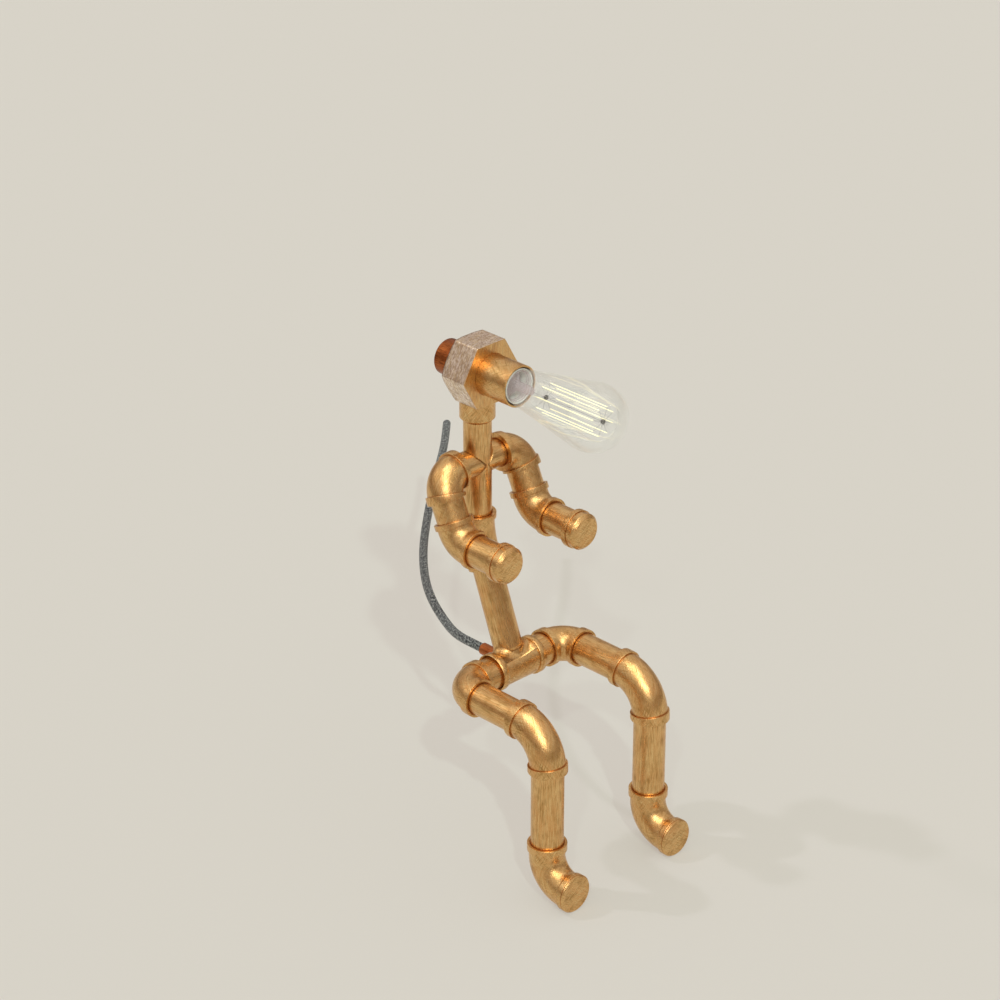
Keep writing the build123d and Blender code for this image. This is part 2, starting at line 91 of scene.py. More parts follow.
# Where the joints are, read from the frame.
JOINT_AT = {joint["name"]: np.array(joint.get("pos_m") or (0, 0, 0), float) for joint in frame["joints"]}
PELVIS = JOINT_AT["left_leg_swing"] * np.array([0, 1, 1])
HIP_HALF_WIDTH = JOINT_AT["left_leg_swing"][0]
SHOULDER_HALF_WIDTH, WAIST_Y, SHOULDER_Z = JOINT_AT["left_arm_swing"]
HEAD_Z = JOINT_AT["switch_turn"][2]
KNEE_Y, ANKLE_Z = JOINT_AT["left_foot_turn"][1:]


def linear(code: str) -> tuple[float, float, float, float]:
    """Turn an sRGB hex colour to the linear one that a shader takes."""
    parts = [int(code[i:i + 2], 16) / 255 for i in (1, 3, 5)]
    values = [v / 12.92 if v <= 0.04045 else ((v + 0.055) / 1.055) ** 2.4 for v in parts]
    return (*values, 1.0)


def unit(vectors: Array) -> Array:
    """A vector, or each row of vectors, at length one."""
    return vectors / np.linalg.norm(vectors, axis=-1, keepdims=True)


# Surfaces


class Line(ABC):
    """A centre line that a profile is carried along."""

    @abstractmethod
    def stations(self, along: Array) -> tuple[Array, Array, Array]:
        """Centres and the two cross directions at each distance along the line."""


@dataclass(frozen=True)
class Straight(Line):
    """A straight line from a point in a direction."""

    start: Array
    direction: Array

    def stations(self, along: Array) -> tuple[Array, Array, Array]:
        """A centre is the start plus the distance times the direction."""
        helper = UP if abs(self.direction @ UP) < 0.9 else FORWARD
        side = unit(np.cross(helper, self.direction))
        rows = np.ones((len(along), 1))
        centres = self.start + along[:, None] * self.direction
        return centres, rows * side, rows * np.cross(self.direction, side)


@dataclass(frozen=True)
class Elbowed(Line):
    """A line that runs straight to a corner, rounds it on an arc and runs straight on."""

    start: Array
    corner: Array
    end: Array
    radius: float

    @property
    def turn(self) -> float:
        """The angle between the two straight runs."""
        return float(np.arccos(unit(self.corner - self.start) @ unit(self.end - self.corner)))

    @property
    def tangent(self) -> float:
        """How far before the corner the arc starts."""
        return self.radius * float(np.tan(self.turn / 2))

    @property
    def length(self) -> float:
        """The whole line: both runs less their tangents, plus the arc."""
        runs = np.linalg.norm(self.corner - self.start) + np.linalg.norm(self.end - self.corner)
        return float(runs - 2 * self.tangent + self.radius * self.turn)

    def stations(self, along: Array) -> tuple[Array, Array, Array]:
        """Before the arc the centre moves along the first run; on it the angle turned is the distance
        over the radius; after it the centre moves along the second run.

        Args:
            along: Distances from the start, in metres.

        Returns:
            Centres, the direction towards the inside of the bend, and the direction across it.
        """
        first = unit(self.corner - self.start)
        second = unit(self.end - self.corner)
        inside = unit(second - (second @ first) * first)
        run = np.linalg.norm(self.corner - self.start) - self.tangent
        angle = np.clip((along - run) / self.radius, 0, self.turn)[:, None]
        after = np.maximum(along - run - self.radius * self.turn, 0)[:, None]
        before = np.minimum(along, run)[:, None]
        arc = self.radius * (np.sin(angle) * first + (1 - np.cos(angle)) * inside)
        centres = self.start + before * first + arc + after * second
        inward = np.cos(angle) * inside - np.sin(angle) * first
        return centres, inward, np.ones((len(along), 1)) * np.cross(first, inside)


@dataclass
class Shell:
    """A closed surface: its points, its faces, how deep in a crevice each point lies, from 0 to 1, which sets
    how much painted shade it takes, and the strokes' map at each face's corners."""

    points: Array
    faces: Array
    crevice: Array
    brushing: Array

    def turned_out(self) -> "Shell":
        """The same shell with its faces outwards: six times its volume is the sum of the triple
        products of its faces' corners, and where that is negative each face is reversed."""
        a, b, c, d = (self.points[self.faces[:, k]] for k in range(4))
        volume = np.einsum("ij,ij->i", a, np.cross(b, c)) + np.einsum("ij,ij->i", a, np.cross(c, d))
        if volume.sum() < 0:
            self.faces = self.faces[:, ::-1]
            self.brushing = self.brushing[:, ::-1]
        return self


def rounded(outline: list | Array, radius: float = EDGE_ROUND, steps: int = 4) -> Array:
    """Round each inner corner of an open outline with a parabola: the point at t is
    (1 - t)^2 before + 2 t (1 - t) corner + t^2 after, with before and after a radius from the corner.

    Args:
        outline: Rows of distance along, radius and crevice.
        radius: How far from the corner the round starts, at most 0.4 of either side.
        steps: Segments in each round.

    Returns:
        The outline with its corners rounded.
    """
    outline = np.array(outline, float)
    rows = [outline[:1]]
    t = np.linspace(0, 1, steps + 1)[:, None]
    for before, corner, after in zip(outline, outline[1:], outline[2:]):
        back, ahead = before - corner, after - corner
        size = min(radius, 0.4 * np.linalg.norm(back[:2]), 0.4 * np.linalg.norm(ahead[:2]))
        first = corner + back * size / max(np.linalg.norm(back[:2]), 1e-9)
        last = corner + ahead * size / max(np.linalg.norm(ahead[:2]), 1e-9)
        rows.append((1 - t) ** 2 * first + 2 * t * (1 - t) * corner + t ** 2 * last)
    rows.append(outline[-1:])
    return np.vstack(rows)


def stepped(outline: list | Array, step: float = STATION) -> Array:
    """Divide an outline's long stretches evenly, so that none is longer than the step.

    Args:
        outline: Rows of distance along, radius and crevice.
        step: The longest stretch, in metres.

    Returns:
        The outline with points added on its straight stretches.
    """
    outline = np.array(outline, float)
    rows = [outline[:1]]
    for before, after in zip(outline, outline[1:]):
        count = max(1, int(np.ceil(np.linalg.norm((after - before)[:2]) / step)))
        t = np.linspace(0, 1, count + 1)[1:, None]
        rows.append(before + t * (after - before))
    return np.vstack(rows)


def net(rows: int, columns: int, closed: bool = False) -> tuple[Array, Array, Array, Array]:
    """The faces of rings of points, one ring after another.

    Args:
        rows: How many rings there are.
        columns: How many points a ring has.
        closed: True where the last ring joins the first.

    Returns:
        Each face's ring, its next ring, its column and its four points.
    """
    grids = np.meshgrid(np.arange(rows if closed else rows - 1), np.arange(columns), indexing="ij")
    row, column = (part.ravel() for part in grids)
    down, right = (row + 1) % rows, (column + 1) % columns
    faces = np.stack([row * columns + column, down * columns + column,
                      down * columns + right, row * columns + right], axis=1)
    return row, down, column, faces


def wrapped(along: Array, row: Array, down: Array, column: Array, width: float) -> Array:
    """The strokes' map along and round a surface.

    Args:
        along: Each ring's distance along the line.
        row: Each face's ring.
        down: Each face's next ring.
        column: Each face's column.
        width: How wide a column is on the map, in metres.

    Returns:
        Two coordinates for each corner of each face.
    """
    near, far = column * width, (column + 1) * width
    corners = ((along[row], near), (along[down], near), (along[down], far), (along[row], far))
    return np.stack([np.stack(corner, 1) for corner in corners], axis=1)


def turned(centres: Array, inward: Array, across: Array, radius: Array, angle: Array) -> Array:
    """Points round each centre: the centre plus the radius times (cos a inward + sin a across).

    Args:
        centres: The rings' centres.
        inward: Each ring's first direction.
        across: Each ring's second direction.
        radius: The radii, a row for each ring and a column for each angle or for all of them.
        angle: The angles round a ring.

    Returns:
        The points, one ring after another.
    """
    directions = np.cos(angle)[:, None] * inward[:, None] + np.sin(angle)[:, None] * across[:, None]
    return (centres[:, None] + radius[:, :, None] * directions).reshape(-1, 3)


def carried(line: Line, outline: Array, ring: bool = True, around: int = AROUND) -> Shell:
    """Carry an outline along a line and round it: a point is the line's centre at the outline's
    distance, plus its radius times (cos a inward + sin a across). The strokes' map runs along and
    round the sides, and straight across the ends, where the outline is steeper than 45 degrees.

    Args:
        line: The centre line.
        outline: Rows of distance along, radius and crevice.
        ring: True where the outline closes on itself, and False where it ends on the axis twice.
        around: How many points each turn has.

    Returns:
        The closed shell.
    """
    along, reach = outline[:, 0], outline[:, 1]
    angle = np.linspace(0, 2 * np.pi, around, endpoint=False)
    points = turned(*line.stations(along), reach[:, None], angle)
    row, down, column, faces = net(len(outline), around, ring)
    brushing = wrapped(along, row, down, column, 2 * np.pi * reach.max() / around)
    level = (reach[:, None, None] * np.stack([np.cos(angle), np.sin(angle)], axis=1)).reshape(-1, 2)
    steep = np.abs(reach[down] - reach[row]) > np.abs(along[down] - along[row])
    brushing = np.where(steep[:, None, None], level[faces], brushing)
    return Shell(points, faces, np.repeat(outline[:, 2], around), brushing).turned_out()


def disc_outline(*corners: tuple[float, float]) -> Array:
    """An outline from the axis to the axis, with its corners rounded."""
    return stepped(rounded([(along, radius, 0.0) for along, radius in corners]))


def tube_outline(start: float, end: float, outer_r: float, inner_r: float) -> Array:
    """A tube's closed outline: out along its outside and back along its bore."""
    corners = [(start, outer_r, 0), (end, outer_r, 0), (end, inner_r, 1), (start, inner_r, 1)]
    return stepped(corners, 3 * STATION)


def across_axis(corners: Array, normal: Array) -> Array:
    """A map for flat faces: each corner takes the two coordinates across the axis that its face's
    normal is nearest to, in metres."""
    pairs = np.array([(1, 2), (0, 2), (1, 0)])[np.abs(normal).argmax(axis=-1)]
    return np.take_along_axis(corners, pairs, axis=-1)


def linked(name: str, data: bpy.types.ID) -> bpy.types.Object:
    """A new object in the scene, at the origin."""
    thing = bpy.data.objects.new(name, data)
    bpy.context.scene.collection.objects.link(thing)
    return thing


def placed(name: str, mesh: bpy.types.Mesh, brushing: Array) -> bpy.types.Object:
    """Give a mesh its map and smooth faces, and put it into the scene.

    Args:
        name: The object's name.
        mesh: Its mesh.
        brushing: The strokes' map at each corner of the faces.

    Returns:
        The new object.
    """
    mesh.uv_layers.new(name="brushing").data.foreach_set("uv", brushing.astype(np.float32).ravel())
    close_poles(mesh)
    mesh.polygons.foreach_set("use_smooth", np.ones(len(mesh.polygons), bool))
    return linked(name, mesh)


def write_mesh(name: str, shells: list[Shell]) -> bpy.types.Object:
    """Put shells into one mesh object, with the strokes' map and how deep in a crevice each point lies.

    Args:
        name: The object's name.
        shells: The closed surfaces.

    Returns:
        The new object, linked to the scene.
    """
    starts = np.cumsum([0] + [len(shell.points) for shell in shells])
    points = np.vstack([shell.points for shell in shells])
    faces = np.vstack([shell.faces + start for shell, start in zip(shells, starts)])
    mesh = bpy.data.meshes.new(name)
    mesh.from_pydata(points.tolist(), [], faces.tolist())
    crevice = mesh.attributes.new("crevice", "FLOAT", "POINT")
    crevice.data.foreach_set("value", np.concatenate([s.crevice for s in shells]).astype(np.float32))
    return placed(name, mesh, np.vstack([shell.brushing.reshape(-1, 2) for shell in shells]))


def close_poles(mesh: bpy.types.Mesh) -> None:
    """Merge the points that meet on an axis."""
    work = bmesh.new()
    work.from_mesh(mesh)
    bmesh.ops.remove_doubles(work, verts=work.verts, dist=1e-7)
    work.to_mesh(mesh)
    work.free()


def reading(rows: bpy.types.bpy_prop_collection, field: str, kind: type, width: int = 1) -> Array:
    """One field of a mesh's points, corners or faces.

    Args:
        rows: The mesh's points, corners or faces.
        field: The field's name.
        kind: The type of its numbers.
        width: How many numbers the field has.

    Returns:
        The numbers, a row for each point, corner or face.
    """
    values = np.zeros(len(rows) * width, kind)
    rows.foreach_get(field, values)
    return values.reshape(-1, width) if width > 1 else values


def mapped_copy(node: str, sharp_degrees: float = 32.0) -> bpy.types.Object:
    """A copy of a frame node, its faces' shared points merged, with a map for the strokes.

    Args:
        node: The node's name.
        sharp_degrees: An edge that turns by more stays sharp.

    Returns:
        The new object, at the origin, linked to the scene.
    """
    source = frame["nodes"][node]
    mesh = source.data.copy()
    mesh.transform(source.matrix_world)
    mesh.materials.clear()
    while mesh.uv_layers:
        mesh.uv_layers.remove(mesh.uv_layers[0])
    close_poles(mesh)
    totals = reading(mesh.polygons, "loop_total", int)
    normal = np.repeat(reading(mesh.polygons, "normal", float, 3), totals, axis=0)
    corners = reading(mesh.vertices, "co", float, 3)[reading(mesh.loops, "vertex_index", int)]
    thing = placed(f"{node}_look", mesh, across_axis(corners, normal))
    mesh.set_sharp_from_angle(angle=np.radians(sharp_degrees))
    return thing


# Finishes

# A colour mix's kind, settings and output: its inputs are 0 the factor, 6 the first and 7 the second.
MIX = ("Mix", {"data_type": "RGBA"}, 2)


class Graph:
    """A material's or a world's node tree, to which nodes are added with their settings and links."""

    def __init__(self, owner: bpy.types.Material | bpy.types.World) -> None:
        """Start with the owner's tree, emptied."""
        self.owner = owner
        owner.use_nodes = True
        self.tree = owner.node_tree
        self.tree.nodes.clear()

    @classmethod
    def named(cls, name: str) -> "Graph":
        """The empty tree of a new material."""
        return cls(bpy.data.materials.new(name))

    def add(self, kind: str, settings: dict | None = None, output: int | str = 0, **sockets) -> Socket | None:
        """Add one node with its settings and links.

        Args:
            kind: The node's type, without the ShaderNode in front.
            settings: Its properties by name, with a colour ramp's stops as places and hex colours.
            output: Which output to give, by number or name.
            **sockets: Values, hex colours or outputs for its inputs, by input name with spaces as
                underscores, or by number as in0, in1 and so on.

        Returns:
            The output, or None where the node has none.
        """
        node = self.tree.nodes.new(f"ShaderNode{kind}")
        for key, value in (settings or {}).items():
            if key == "stops":
                self.set_stops(node.color_ramp.elements, value)
            else:
                setattr(node, key, value)
        for key, value in sockets.items():
            number = key[2:]
            numbered = key.startswith("in") and number.isdigit()
            place = node.inputs[int(number) if numbered else key.replace("_", " ")]
            if isinstance(value, Socket):
                self.tree.links.new(value, place)
            else:
                place.default_value = linear(value) if isinstance(value, str) else value
        return node.outputs[output] if node.outputs else None

    @staticmethod
    def set_stops(elements: bpy.types.bpy_prop_collection, stops: tuple) -> None:
        """Set the places and hex colours of a colour ramp's stops."""
        while len(elements) < len(stops):
            elements.new(1.0)
        for element, (place, colour) in zip(elements, stops):
            element.position = place
            element.color = linear(colour)

    def finish(self, surface: Socket) -> bpy.types.Material | bpy.types.World:
        """Link the surface shader to the output and return the tree's owner."""
        world = isinstance(self.owner, bpy.types.World)
        self.add("OutputWorld" if world else "OutputMaterial", Surface=surface)
        return self.owner


def pattern(graph: Graph, source: Socket, size: tuple, turn: float = 0.0, **noise: float) -> Socket:
    """A pattern whose features have a real size.

    Args:
        graph: The nodes to add to.
        source: Coordinates in metres.
        size: A feature's size along each coordinate, in metres.
        turn: An angle about the third axis, in degrees.
        **noise: The noise's detail, its roughness, and its fourth coordinate W.

    Returns:
        A number from 0 to 1.
    """
    level = graph.add("Mapping", Vector=source, Rotation=(0, 0, np.radians(turn)))
    unit_size = graph.add("Mapping", Vector=level, Scale=tuple(1 / part for part in size))
    settings = {"noise_dimensions": "4D"} if "W" in noise else {}
    return graph.add("TexNoise", settings, Vector=unit_size, Scale=1.0, **noise)


def band(low: float, high: float, top: float = 1.0) -> dict[str, float]:
    """A range's inputs: nothing below the low value, the top above the high one, a straight rise between."""
    return {"From_Min": low, "From_Max": high, "To_Max": top}


@dataclass(frozen=True)
class Finish(ABC):
    """How a surface was made, and what that gives the eye."""

    name: str
    slot: str

    @abstractmethod
    def surface(self, graph: Graph) -> Socket:
        """Add the finish's nodes and give its surface."""

    def material(self) -> bpy.types.Material:
        """Build the finish's material."""
        graph = Graph.named(self.name)
        return graph.finish(self.surface(graph))


@dataclass(frozen=True)
class BrushedBrass(Finish):
    """Golden brass, drawn over by hand with coarse abrasive and tarnished: pale strokes cross dull olive
    ones.
    The recesses take a painted shade, deep orange as a painted reflection of light caught twice. A band is
    the pair of noise values between which a tone sets in, and the share that it may reach. Angles are in
    degrees."""

    brushing: Brushing = Brushing.CROSSED
    light: str = "#E0B478"
    warm: str = "#DCA86C"
    pale: str = "#F0D49A"
    dull: str = "#9A7236"
    # The painted recess shade: the colour laid into crevices, deep orange where light is caught twice.
    recess_shade: str = "#B8723A"
    roughness: float = 0.36
    patina: float = 0.8
    stroke: tuple[float, float] = (13 * MM, 0.8 * MM)
    scratch: tuple[float, float] = (9 * MM, 0.65 * MM)
    cloud: float = 16 * MM
    patch: float = 8 * MM
    cross: float = 36.0
    drawn: tuple[float, float] = (4.0, -3.0)
    relief: float = 0.2 * MM
    stroke_relief: float = 0.7
    cloud_band: tuple[float, float] = (0.38, 0.66)
    pale_band: tuple[float, float, float] = (0.52, 0.72, 0.8)
    dull_band: tuple[float, float] = (0.52, 0.7)
    gather: float = 0.35
    swing: float = 0.8
    mean: float = 0.6

    def strokes(self, graph: Graph, uv: Socket, size: tuple, shift: float) -> Socket:
        """Noise stretched to an abrasive's strokes: along the piece, or at two crossed angles.

        Args:
            graph: The material's nodes.
            uv: The brushing map, in metres.
            size: A stroke's length and width, in metres.
            shift: Keeps one set of strokes off another.

        Returns:
            A number about 0.4 to 0.8, with a mean of 0.6.
        """
        angles = self.drawn if self.brushing is Brushing.ALONG else (self.cross, -self.cross)
        first, second = (pattern(graph, uv, (*size, 1.0), angle, Roughness=0.6, W=shift + 3.7 * index)
                         for index, angle in enumerate(angles))
        return graph.add("Math", {"operation": "MAXIMUM"}, in0=first, in1=second)

    def metal(self, graph: Graph, place: Socket) -> Socket:
        """The bare metal's colour: clouds of a light and a warm tone."""
        cloud = pattern(graph, place, (self.cloud,) * 3, Detail=3.0, Roughness=0.55)
        share = graph.add("MapRange", Value=cloud, **band(*self.cloud_band))
        return graph.add(*MIX, in0=share, in6=self.light, in7=self.warm)

    def surface(self, graph: Graph) -> Socket:
        """Pale strokes and dull strokes over the bare metal, and painted recess shade in the crevices. The
        dull strokes gather in patches. Roughness and bump follow the same strokes."""
        uv = graph.add("UVMap", {"uv_map": "brushing"})
        place = graph.add("TexCoord", output="Object")
        crevice = graph.add("Attribute", {"attribute_name": "crevice"}, "Fac")
        strokes = self.strokes(graph, uv, self.stroke, 0.0)
        scratches = self.strokes(graph, uv, self.scratch, 11.0)
        patches = pattern(graph, place, (self.patch,) * 3, W=5.0)
        scaled_sum = {"operation": "MULTIPLY_ADD"}
        pale = graph.add("MapRange", Value=strokes, **band(*self.pale_band))
        gathered = graph.add("Math", scaled_sum, in0=patches, in1=self.gather, in2=-self.gather / 2)
        scored = graph.add("Math", {"operation": "ADD"}, in0=gathered, in1=scratches)
        dull = graph.add("MapRange", Value=scored, **band(*self.dull_band))
        worn = graph.add("Math", {"operation": "MULTIPLY"}, in0=dull, in1=self.patina)
        colour = self.metal(graph, place)
        # The crevice share lays the painted recess shade over the metal last.
        for share, tone in ((pale, self.pale), (worn, self.dull), (crevice, self.recess_shade)):
            colour = graph.add(*MIX, in0=share, in6=colour, in7=tone)
        smooth = self.roughness - self.swing * self.mean
        roughness = graph.add("Math", scaled_sum, in0=scratches, in1=self.swing, in2=smooth)
        height = graph.add("Math", scaled_sum, in0=strokes, in1=self.stroke_relief, in2=scratches)
        normal = graph.add("Bump", Strength=0.6, Distance=self.relief, Height=height)
        return graph.add("BsdfPrincipled", Base_Color=colour, Metallic=1.0, Roughness=roughness,
                         Normal=normal)


@dataclass(frozen=True)
class MilledBrass(BrushedBrass):
    """Hexagonal bar stock: the turned front is as golden as the fittings, and the milled flats behind
    it are scratched, and painted pale and pinkish as a painted sheen."""

    # The flats' two tones are a painted sheen: pale pinkish light laid into their colour, streaked by the
    # scratches.
    flat_sheen_light: str = "#F8E8DA"
    flat_sheen_warm: str = "#C8AE98"
    streak: tuple[float, float, float] = (1.6 * MM, 1.6 * MM, 12 * MM)
    streak_band: tuple[float, float] = (0.4, 0.6)
    front: float = 25.61 * MM
    ease: float = 0.3 * MM

    def metal(self, graph: Graph, place: Socket) -> Socket:
        """Golden at the front, and the flats' painted pale sheen behind it."""
        golden = super().metal(graph, place)
        streaks = graph.add("MapRange", Value=pattern(graph, place, self.streak), **band(*self.streak_band))
        flats = graph.add(*MIX, in0=streaks, in6=self.flat_sheen_light, in7=self.flat_sheen_warm)
        depth = graph.add("SeparateXYZ", output="Y", Vector=place)
        behind = graph.add("MapRange", Value=depth, **band(self.front, self.front + self.ease))
        return graph.add(*MIX, in0=behind, in6=golden, in7=flats)


@dataclass(frozen=True)
class ClearGlass(Finish):
    """Blown soda-lime glass: clear, smooth and thin, with a trace of green-grey at its edges."""

    tint: str = "#FBFCFC"
    ior: float = 1.45
    roughness: float = 0.0
    clearness: float = 0.85
    milk: float = 0.0
    # shine and glow give the glass a painted glow: emission that stands in for the filaments' light.
    shine: str = "#FFF0DC"
    glow: float = 0.16

    def surface(self, graph: Graph) -> Socket:
        """Glass for the eye, part of it clear as so thin a wall is, and all of it clear to the lamps'
        shadow rays. It has a faint painted glow of its own, which stands in for the filaments' light in the
        glass."""
        glass = graph.add("BsdfPrincipled", Base_Color=self.tint, Roughness=self.roughness, IOR=self.ior,
                          Transmission_Weight=1.0 - self.milk, Emission_Color=self.shine,
                          Emission_Strength=self.glow)
        clear = graph.add("BsdfTransparent", Color=self.tint)
        shadow = graph.add("LightPath", output="Is Shadow Ray")
        share = graph.add("Math", {"operation": "MAXIMUM"}, in0=shadow, in1=self.clearness)
        return graph.add("MixShader", Fac=share, in1=glass, in2=clear)


@dataclass(frozen=True)
class Plain(Finish):
    """A part with an even finish and a fine grain, such as moulded plastic, wire or ceramic."""

    colour: str
    roughness: float
    metallic: float = 0.0
    grain: float = 1.2 * MM
    depth: float = 0.02 * MM
    shade: float = 0.12

    def surface(self, graph: Graph) -> Socket:
        """An even colour, a little lighter and darker by a noise of the grain's size."""
        grain = pattern(graph, graph.add("TexCoord", output="Object"), (self.grain,) * 3, Detail=3.0)
        dark = tuple(part * (1 - self.shade) for part in linear(self.colour)[:3]) + (1.0,)
        colour = graph.add(*MIX, in0=grain, in6=dark, in7=self.colour)
        normal = graph.add("Bump", Strength=0.4, Distance=self.depth, Height=grain)
        return graph.add("BsdfPrincipled", Base_Color=colour, Roughness=self.roughness,
                         Metallic=self.metallic, Normal=normal)


@dataclass(frozen=True)
class GlowingFilament(Finish):
    """A phosphor-coated filament, lit: a pale yellow, even glow."""

    colour: str = "#FFF6C4"
    strength: float = 0.75
    roughness: float = 0.6

    def surface(self, graph: Graph) -> Socket:
        """A matt coat that gives light of its own colour."""
        return graph.add("BsdfPrincipled", Base_Color=self.colour, Roughness=self.roughness,
                         Emission_Color=self.colour, Emission_Strength=self.strength)


@dataclass(frozen=True)
class HeatherBraid(Finish):
    """A braided textile sleeve in mixed grey yarns: light and dark flecks along a blue-grey ground."""

    yarns: tuple = ((0.42, "#1E2122"), (0.5, "#54585A"), (0.6, "#A8AAA4"))
    # valley: the painted shade laid into the braid's valleys.
    valley: str = "#1D2123"
    valley_shade_share: float = 0.6
    fleck: tuple[float, float] = (3.2 * MM, 1.3 * MM)
    fibre: tuple[float, float] = (0.9 * MM, 0.15 * MM)
    relief: float = 0.08 * MM
    lay: float = 30.0
    roughness: float = 0.75
    sheen: float = 0.25

    def surface(self, graph: Graph) -> Socket:
        """Each yarn's tone comes from noise as long as a braid float; the braid's valleys are darkened with
        painted shade.
        """
        uv = graph.add("UVMap", {"uv_map": "brushing"})
        flecks = pattern(graph, uv, (*self.fleck, 1.0), self.lay, Roughness=0.7)
        yarns = graph.add("ValToRGB", {"stops": self.yarns}, in0=flecks)
        crevice = graph.add("Attribute", {"attribute_name": "crevice"}, "Fac")
        sunk = graph.add("Math", {"operation": "MULTIPLY"}, in0=crevice, in1=self.valley_shade_share)
        colour = graph.add(*MIX, in0=sunk, in6=yarns, in7=self.valley)
        fibres = pattern(graph, uv, (*self.fibre, 1.0), self.lay)
        normal = graph.add("Bump", Strength=0.6, Distance=self.relief, Height=fibres)
        return graph.add("BsdfPrincipled", Base_Color=colour, Roughness=self.roughness, Normal=normal,
                         Sheen_Weight=self.sheen, Sheen_Roughness=0.4)


CAST = BrushedBrass("hand_brushed_brass", "brushed_brass")
DRAWN = BrushedBrass("drawn_brass_tube", "brushed_brass", brushing=Brushing.ALONG, patina=0.7,
                     stroke=(30 * MM, 0.9 * MM), scratch=(16 * MM, 0.8 * MM))
NUT = MilledBrass("milled_nut_brass", "head_block_brass", dull="#8E7458", patina=0.5, cross=84.0)
KNOB = BrushedBrass("dark_copper", "copper_knob", brushing=Brushing.ALONG, light="#AC6234", warm="#8C4824",
                    pale="#B0622E", dull="#54250E", recess_shade="#5A260E")
GLAND = BrushedBrass("warm_copper", "copper_gland", brushing=Brushing.ALONG, light="#C07040", warm="#AA5C30",
                     pale="#D08A58", dull="#84441E", recess_shade="#7A3418", roughness=0.42)
GLASS = ClearGlass("blown_clear_glass", "clear_glass")
STEM_GLASS = ClearGlass("pressed_stem_glass", "stem_glass", tint="#F8EEF2", roughness=0.04, clearness=0.6,
                        milk=0.35, glow=0.06)
FILAMENT = GlowingFilament("phosphor_coat", "coated_filament")
WIRE = Plain("oxidised_wire", "support_wire", "#3A3836", 0.45, metallic=0.8)
CAP_METAL = Plain("rolled_aluminium", "bulb_cap_metal", "#C9C9C4", 0.3, metallic=1.0)
INSULATOR = Plain("black_vitreous_insulator", "bulb_insulator_glass", "#141414", 0.15)
CONTACT = Plain("bright_contact_brass", "contact_metal", "#DDBB7A", 0.25, metallic=1.0)
# Painted shade: a dark red-brown sheet for the shadowed gap inside the barrel's mouth.
PAINTED_SHADE_SLEEVE = Plain("lacquered_card", "holder_ceramic", "#3A1210", 0.6)
PORCELAIN = Plain("unglazed_porcelain", "holder_ceramic", "#E6E3DA", 0.55)
PLATED = Plain("zinc_plated_steel", "plated_steel", "#C4C6C8", 0.35, metallic=1.0)
SWITCH_BODY = Plain("moulded_phenolic", "switch_plastic", "#1B1A19", 0.45)
TERMINAL = Plain("moulded_nylon", "terminal_plastic", "#E3E2DC", 0.5)
CORE_SKIN = Plain("extruded_insulation", "core_insulation", "#5A331F", 0.4)
BRAID = HeatherBraid("heather_textile_braid", "braided_cord")


class Workshop:
    """Makes each finish's material once, and dresses pieces and frame nodes."""

    def __init__(self) -> None:
        """Start with no materials made."""
        self.made: dict[str, bpy.types.Material] = {}

    def finish(self, thing: bpy.types.Object, finish: Finish) -> None:
        """Give an object one finish in place of whatever it has."""
        if finish.name not in self.made:
            self.made[finish.name] = finish.material()
        thing.data.materials.clear()
        thing.data.materials.append(self.made[finish.name])

    def fit(self, thing: bpy.types.Object, finish: Finish, body: str, *nodes: str) -> None:
        """Finish a piece, make it ride on a body, and let it stand for frame nodes.

        Args:
            thing: The piece.
            finish: Its finish.
            body: The body that carries it.
            *nodes: The nodes that it replaces.
        """
        self.finish(thing, finish)
        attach(thing, body)
        if nodes:
            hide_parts(*nodes)
        log.info("%s on %s, in place of %s", thing.name, body, ", ".join(nodes) or "nothing")

    def piece(self, node: str, finish: Finish, body: str, *shells: Shell) -> bpy.types.Object:
        """Make a piece of shells that stands for one frame node, fit it and return it."""
        thing = write_mesh(f"{node}_look", list(shells))
        self.fit(thing, finish, body, node)
        return thing

    def dress(self, finish: Finish, *nodes: str) -> None:
        """Give frame nodes that keep their own shape a finish."""
        for node in nodes:
            self.finish(frame["nodes"][node], finish)
            log.info("%s dressed as %s", node, finish.name)


# Pipework


@dataclass(frozen=True)
class Mouth:
    """A fitting's open end: a raised ring with a thin lip, a recess inside it, and the socket.

    The ring stands on the body with a fine groove at its back.
    """

    reach: float
    hole_r: float
    ring_r: float
    ring_length: float
    depth: float
    gap: float = 0.75 * MM
    recess: float = 0.7 * MM
    groove: float = 0.4 * MM
    groove_depth: float = 0.2 * MM

    @property
    def stop(self) -> float:
        """How far from the fitting's corner a tube's end lies."""
        return self.reach - self.depth

    def outline(self, body_r: float) -> Array:
        """From the socket's stop round the lip and the ring to the body.

        Args:
            body_r: The fitting's outer radius.

        Returns:
            Rows of distance in from the open face, radius and crevice.
        """
        inner_r, back = self.hole_r + self.gap, self.ring_length
        sunk, groove = body_r - self.groove_depth, self.groove
        return rounded([
            (self.depth, self.hole_r, 1), (self.recess, self.hole_r, 1), (self.recess, inner_r, 0.8),
            (0, inner_r, 0.1), (0, self.ring_r, 0), (back, self.ring_r, 0),
            (back, sunk, 0.45), (back + groove, sunk, 0.45), (back + groove, body_r, 0),
            (back + 2 * groove, body_r, 0),
        ], FINE_ROUND)


def straight_tube(start: Array, end: Array, outer_r: float, wall: float) -> Shell:
    """A straight tube between two points."""
    outline = tube_outline(0.0, float(np.linalg.norm(end - start)), outer_r, outer_r - wall)
    return carried(Straight(start, unit(end - start)), outline)


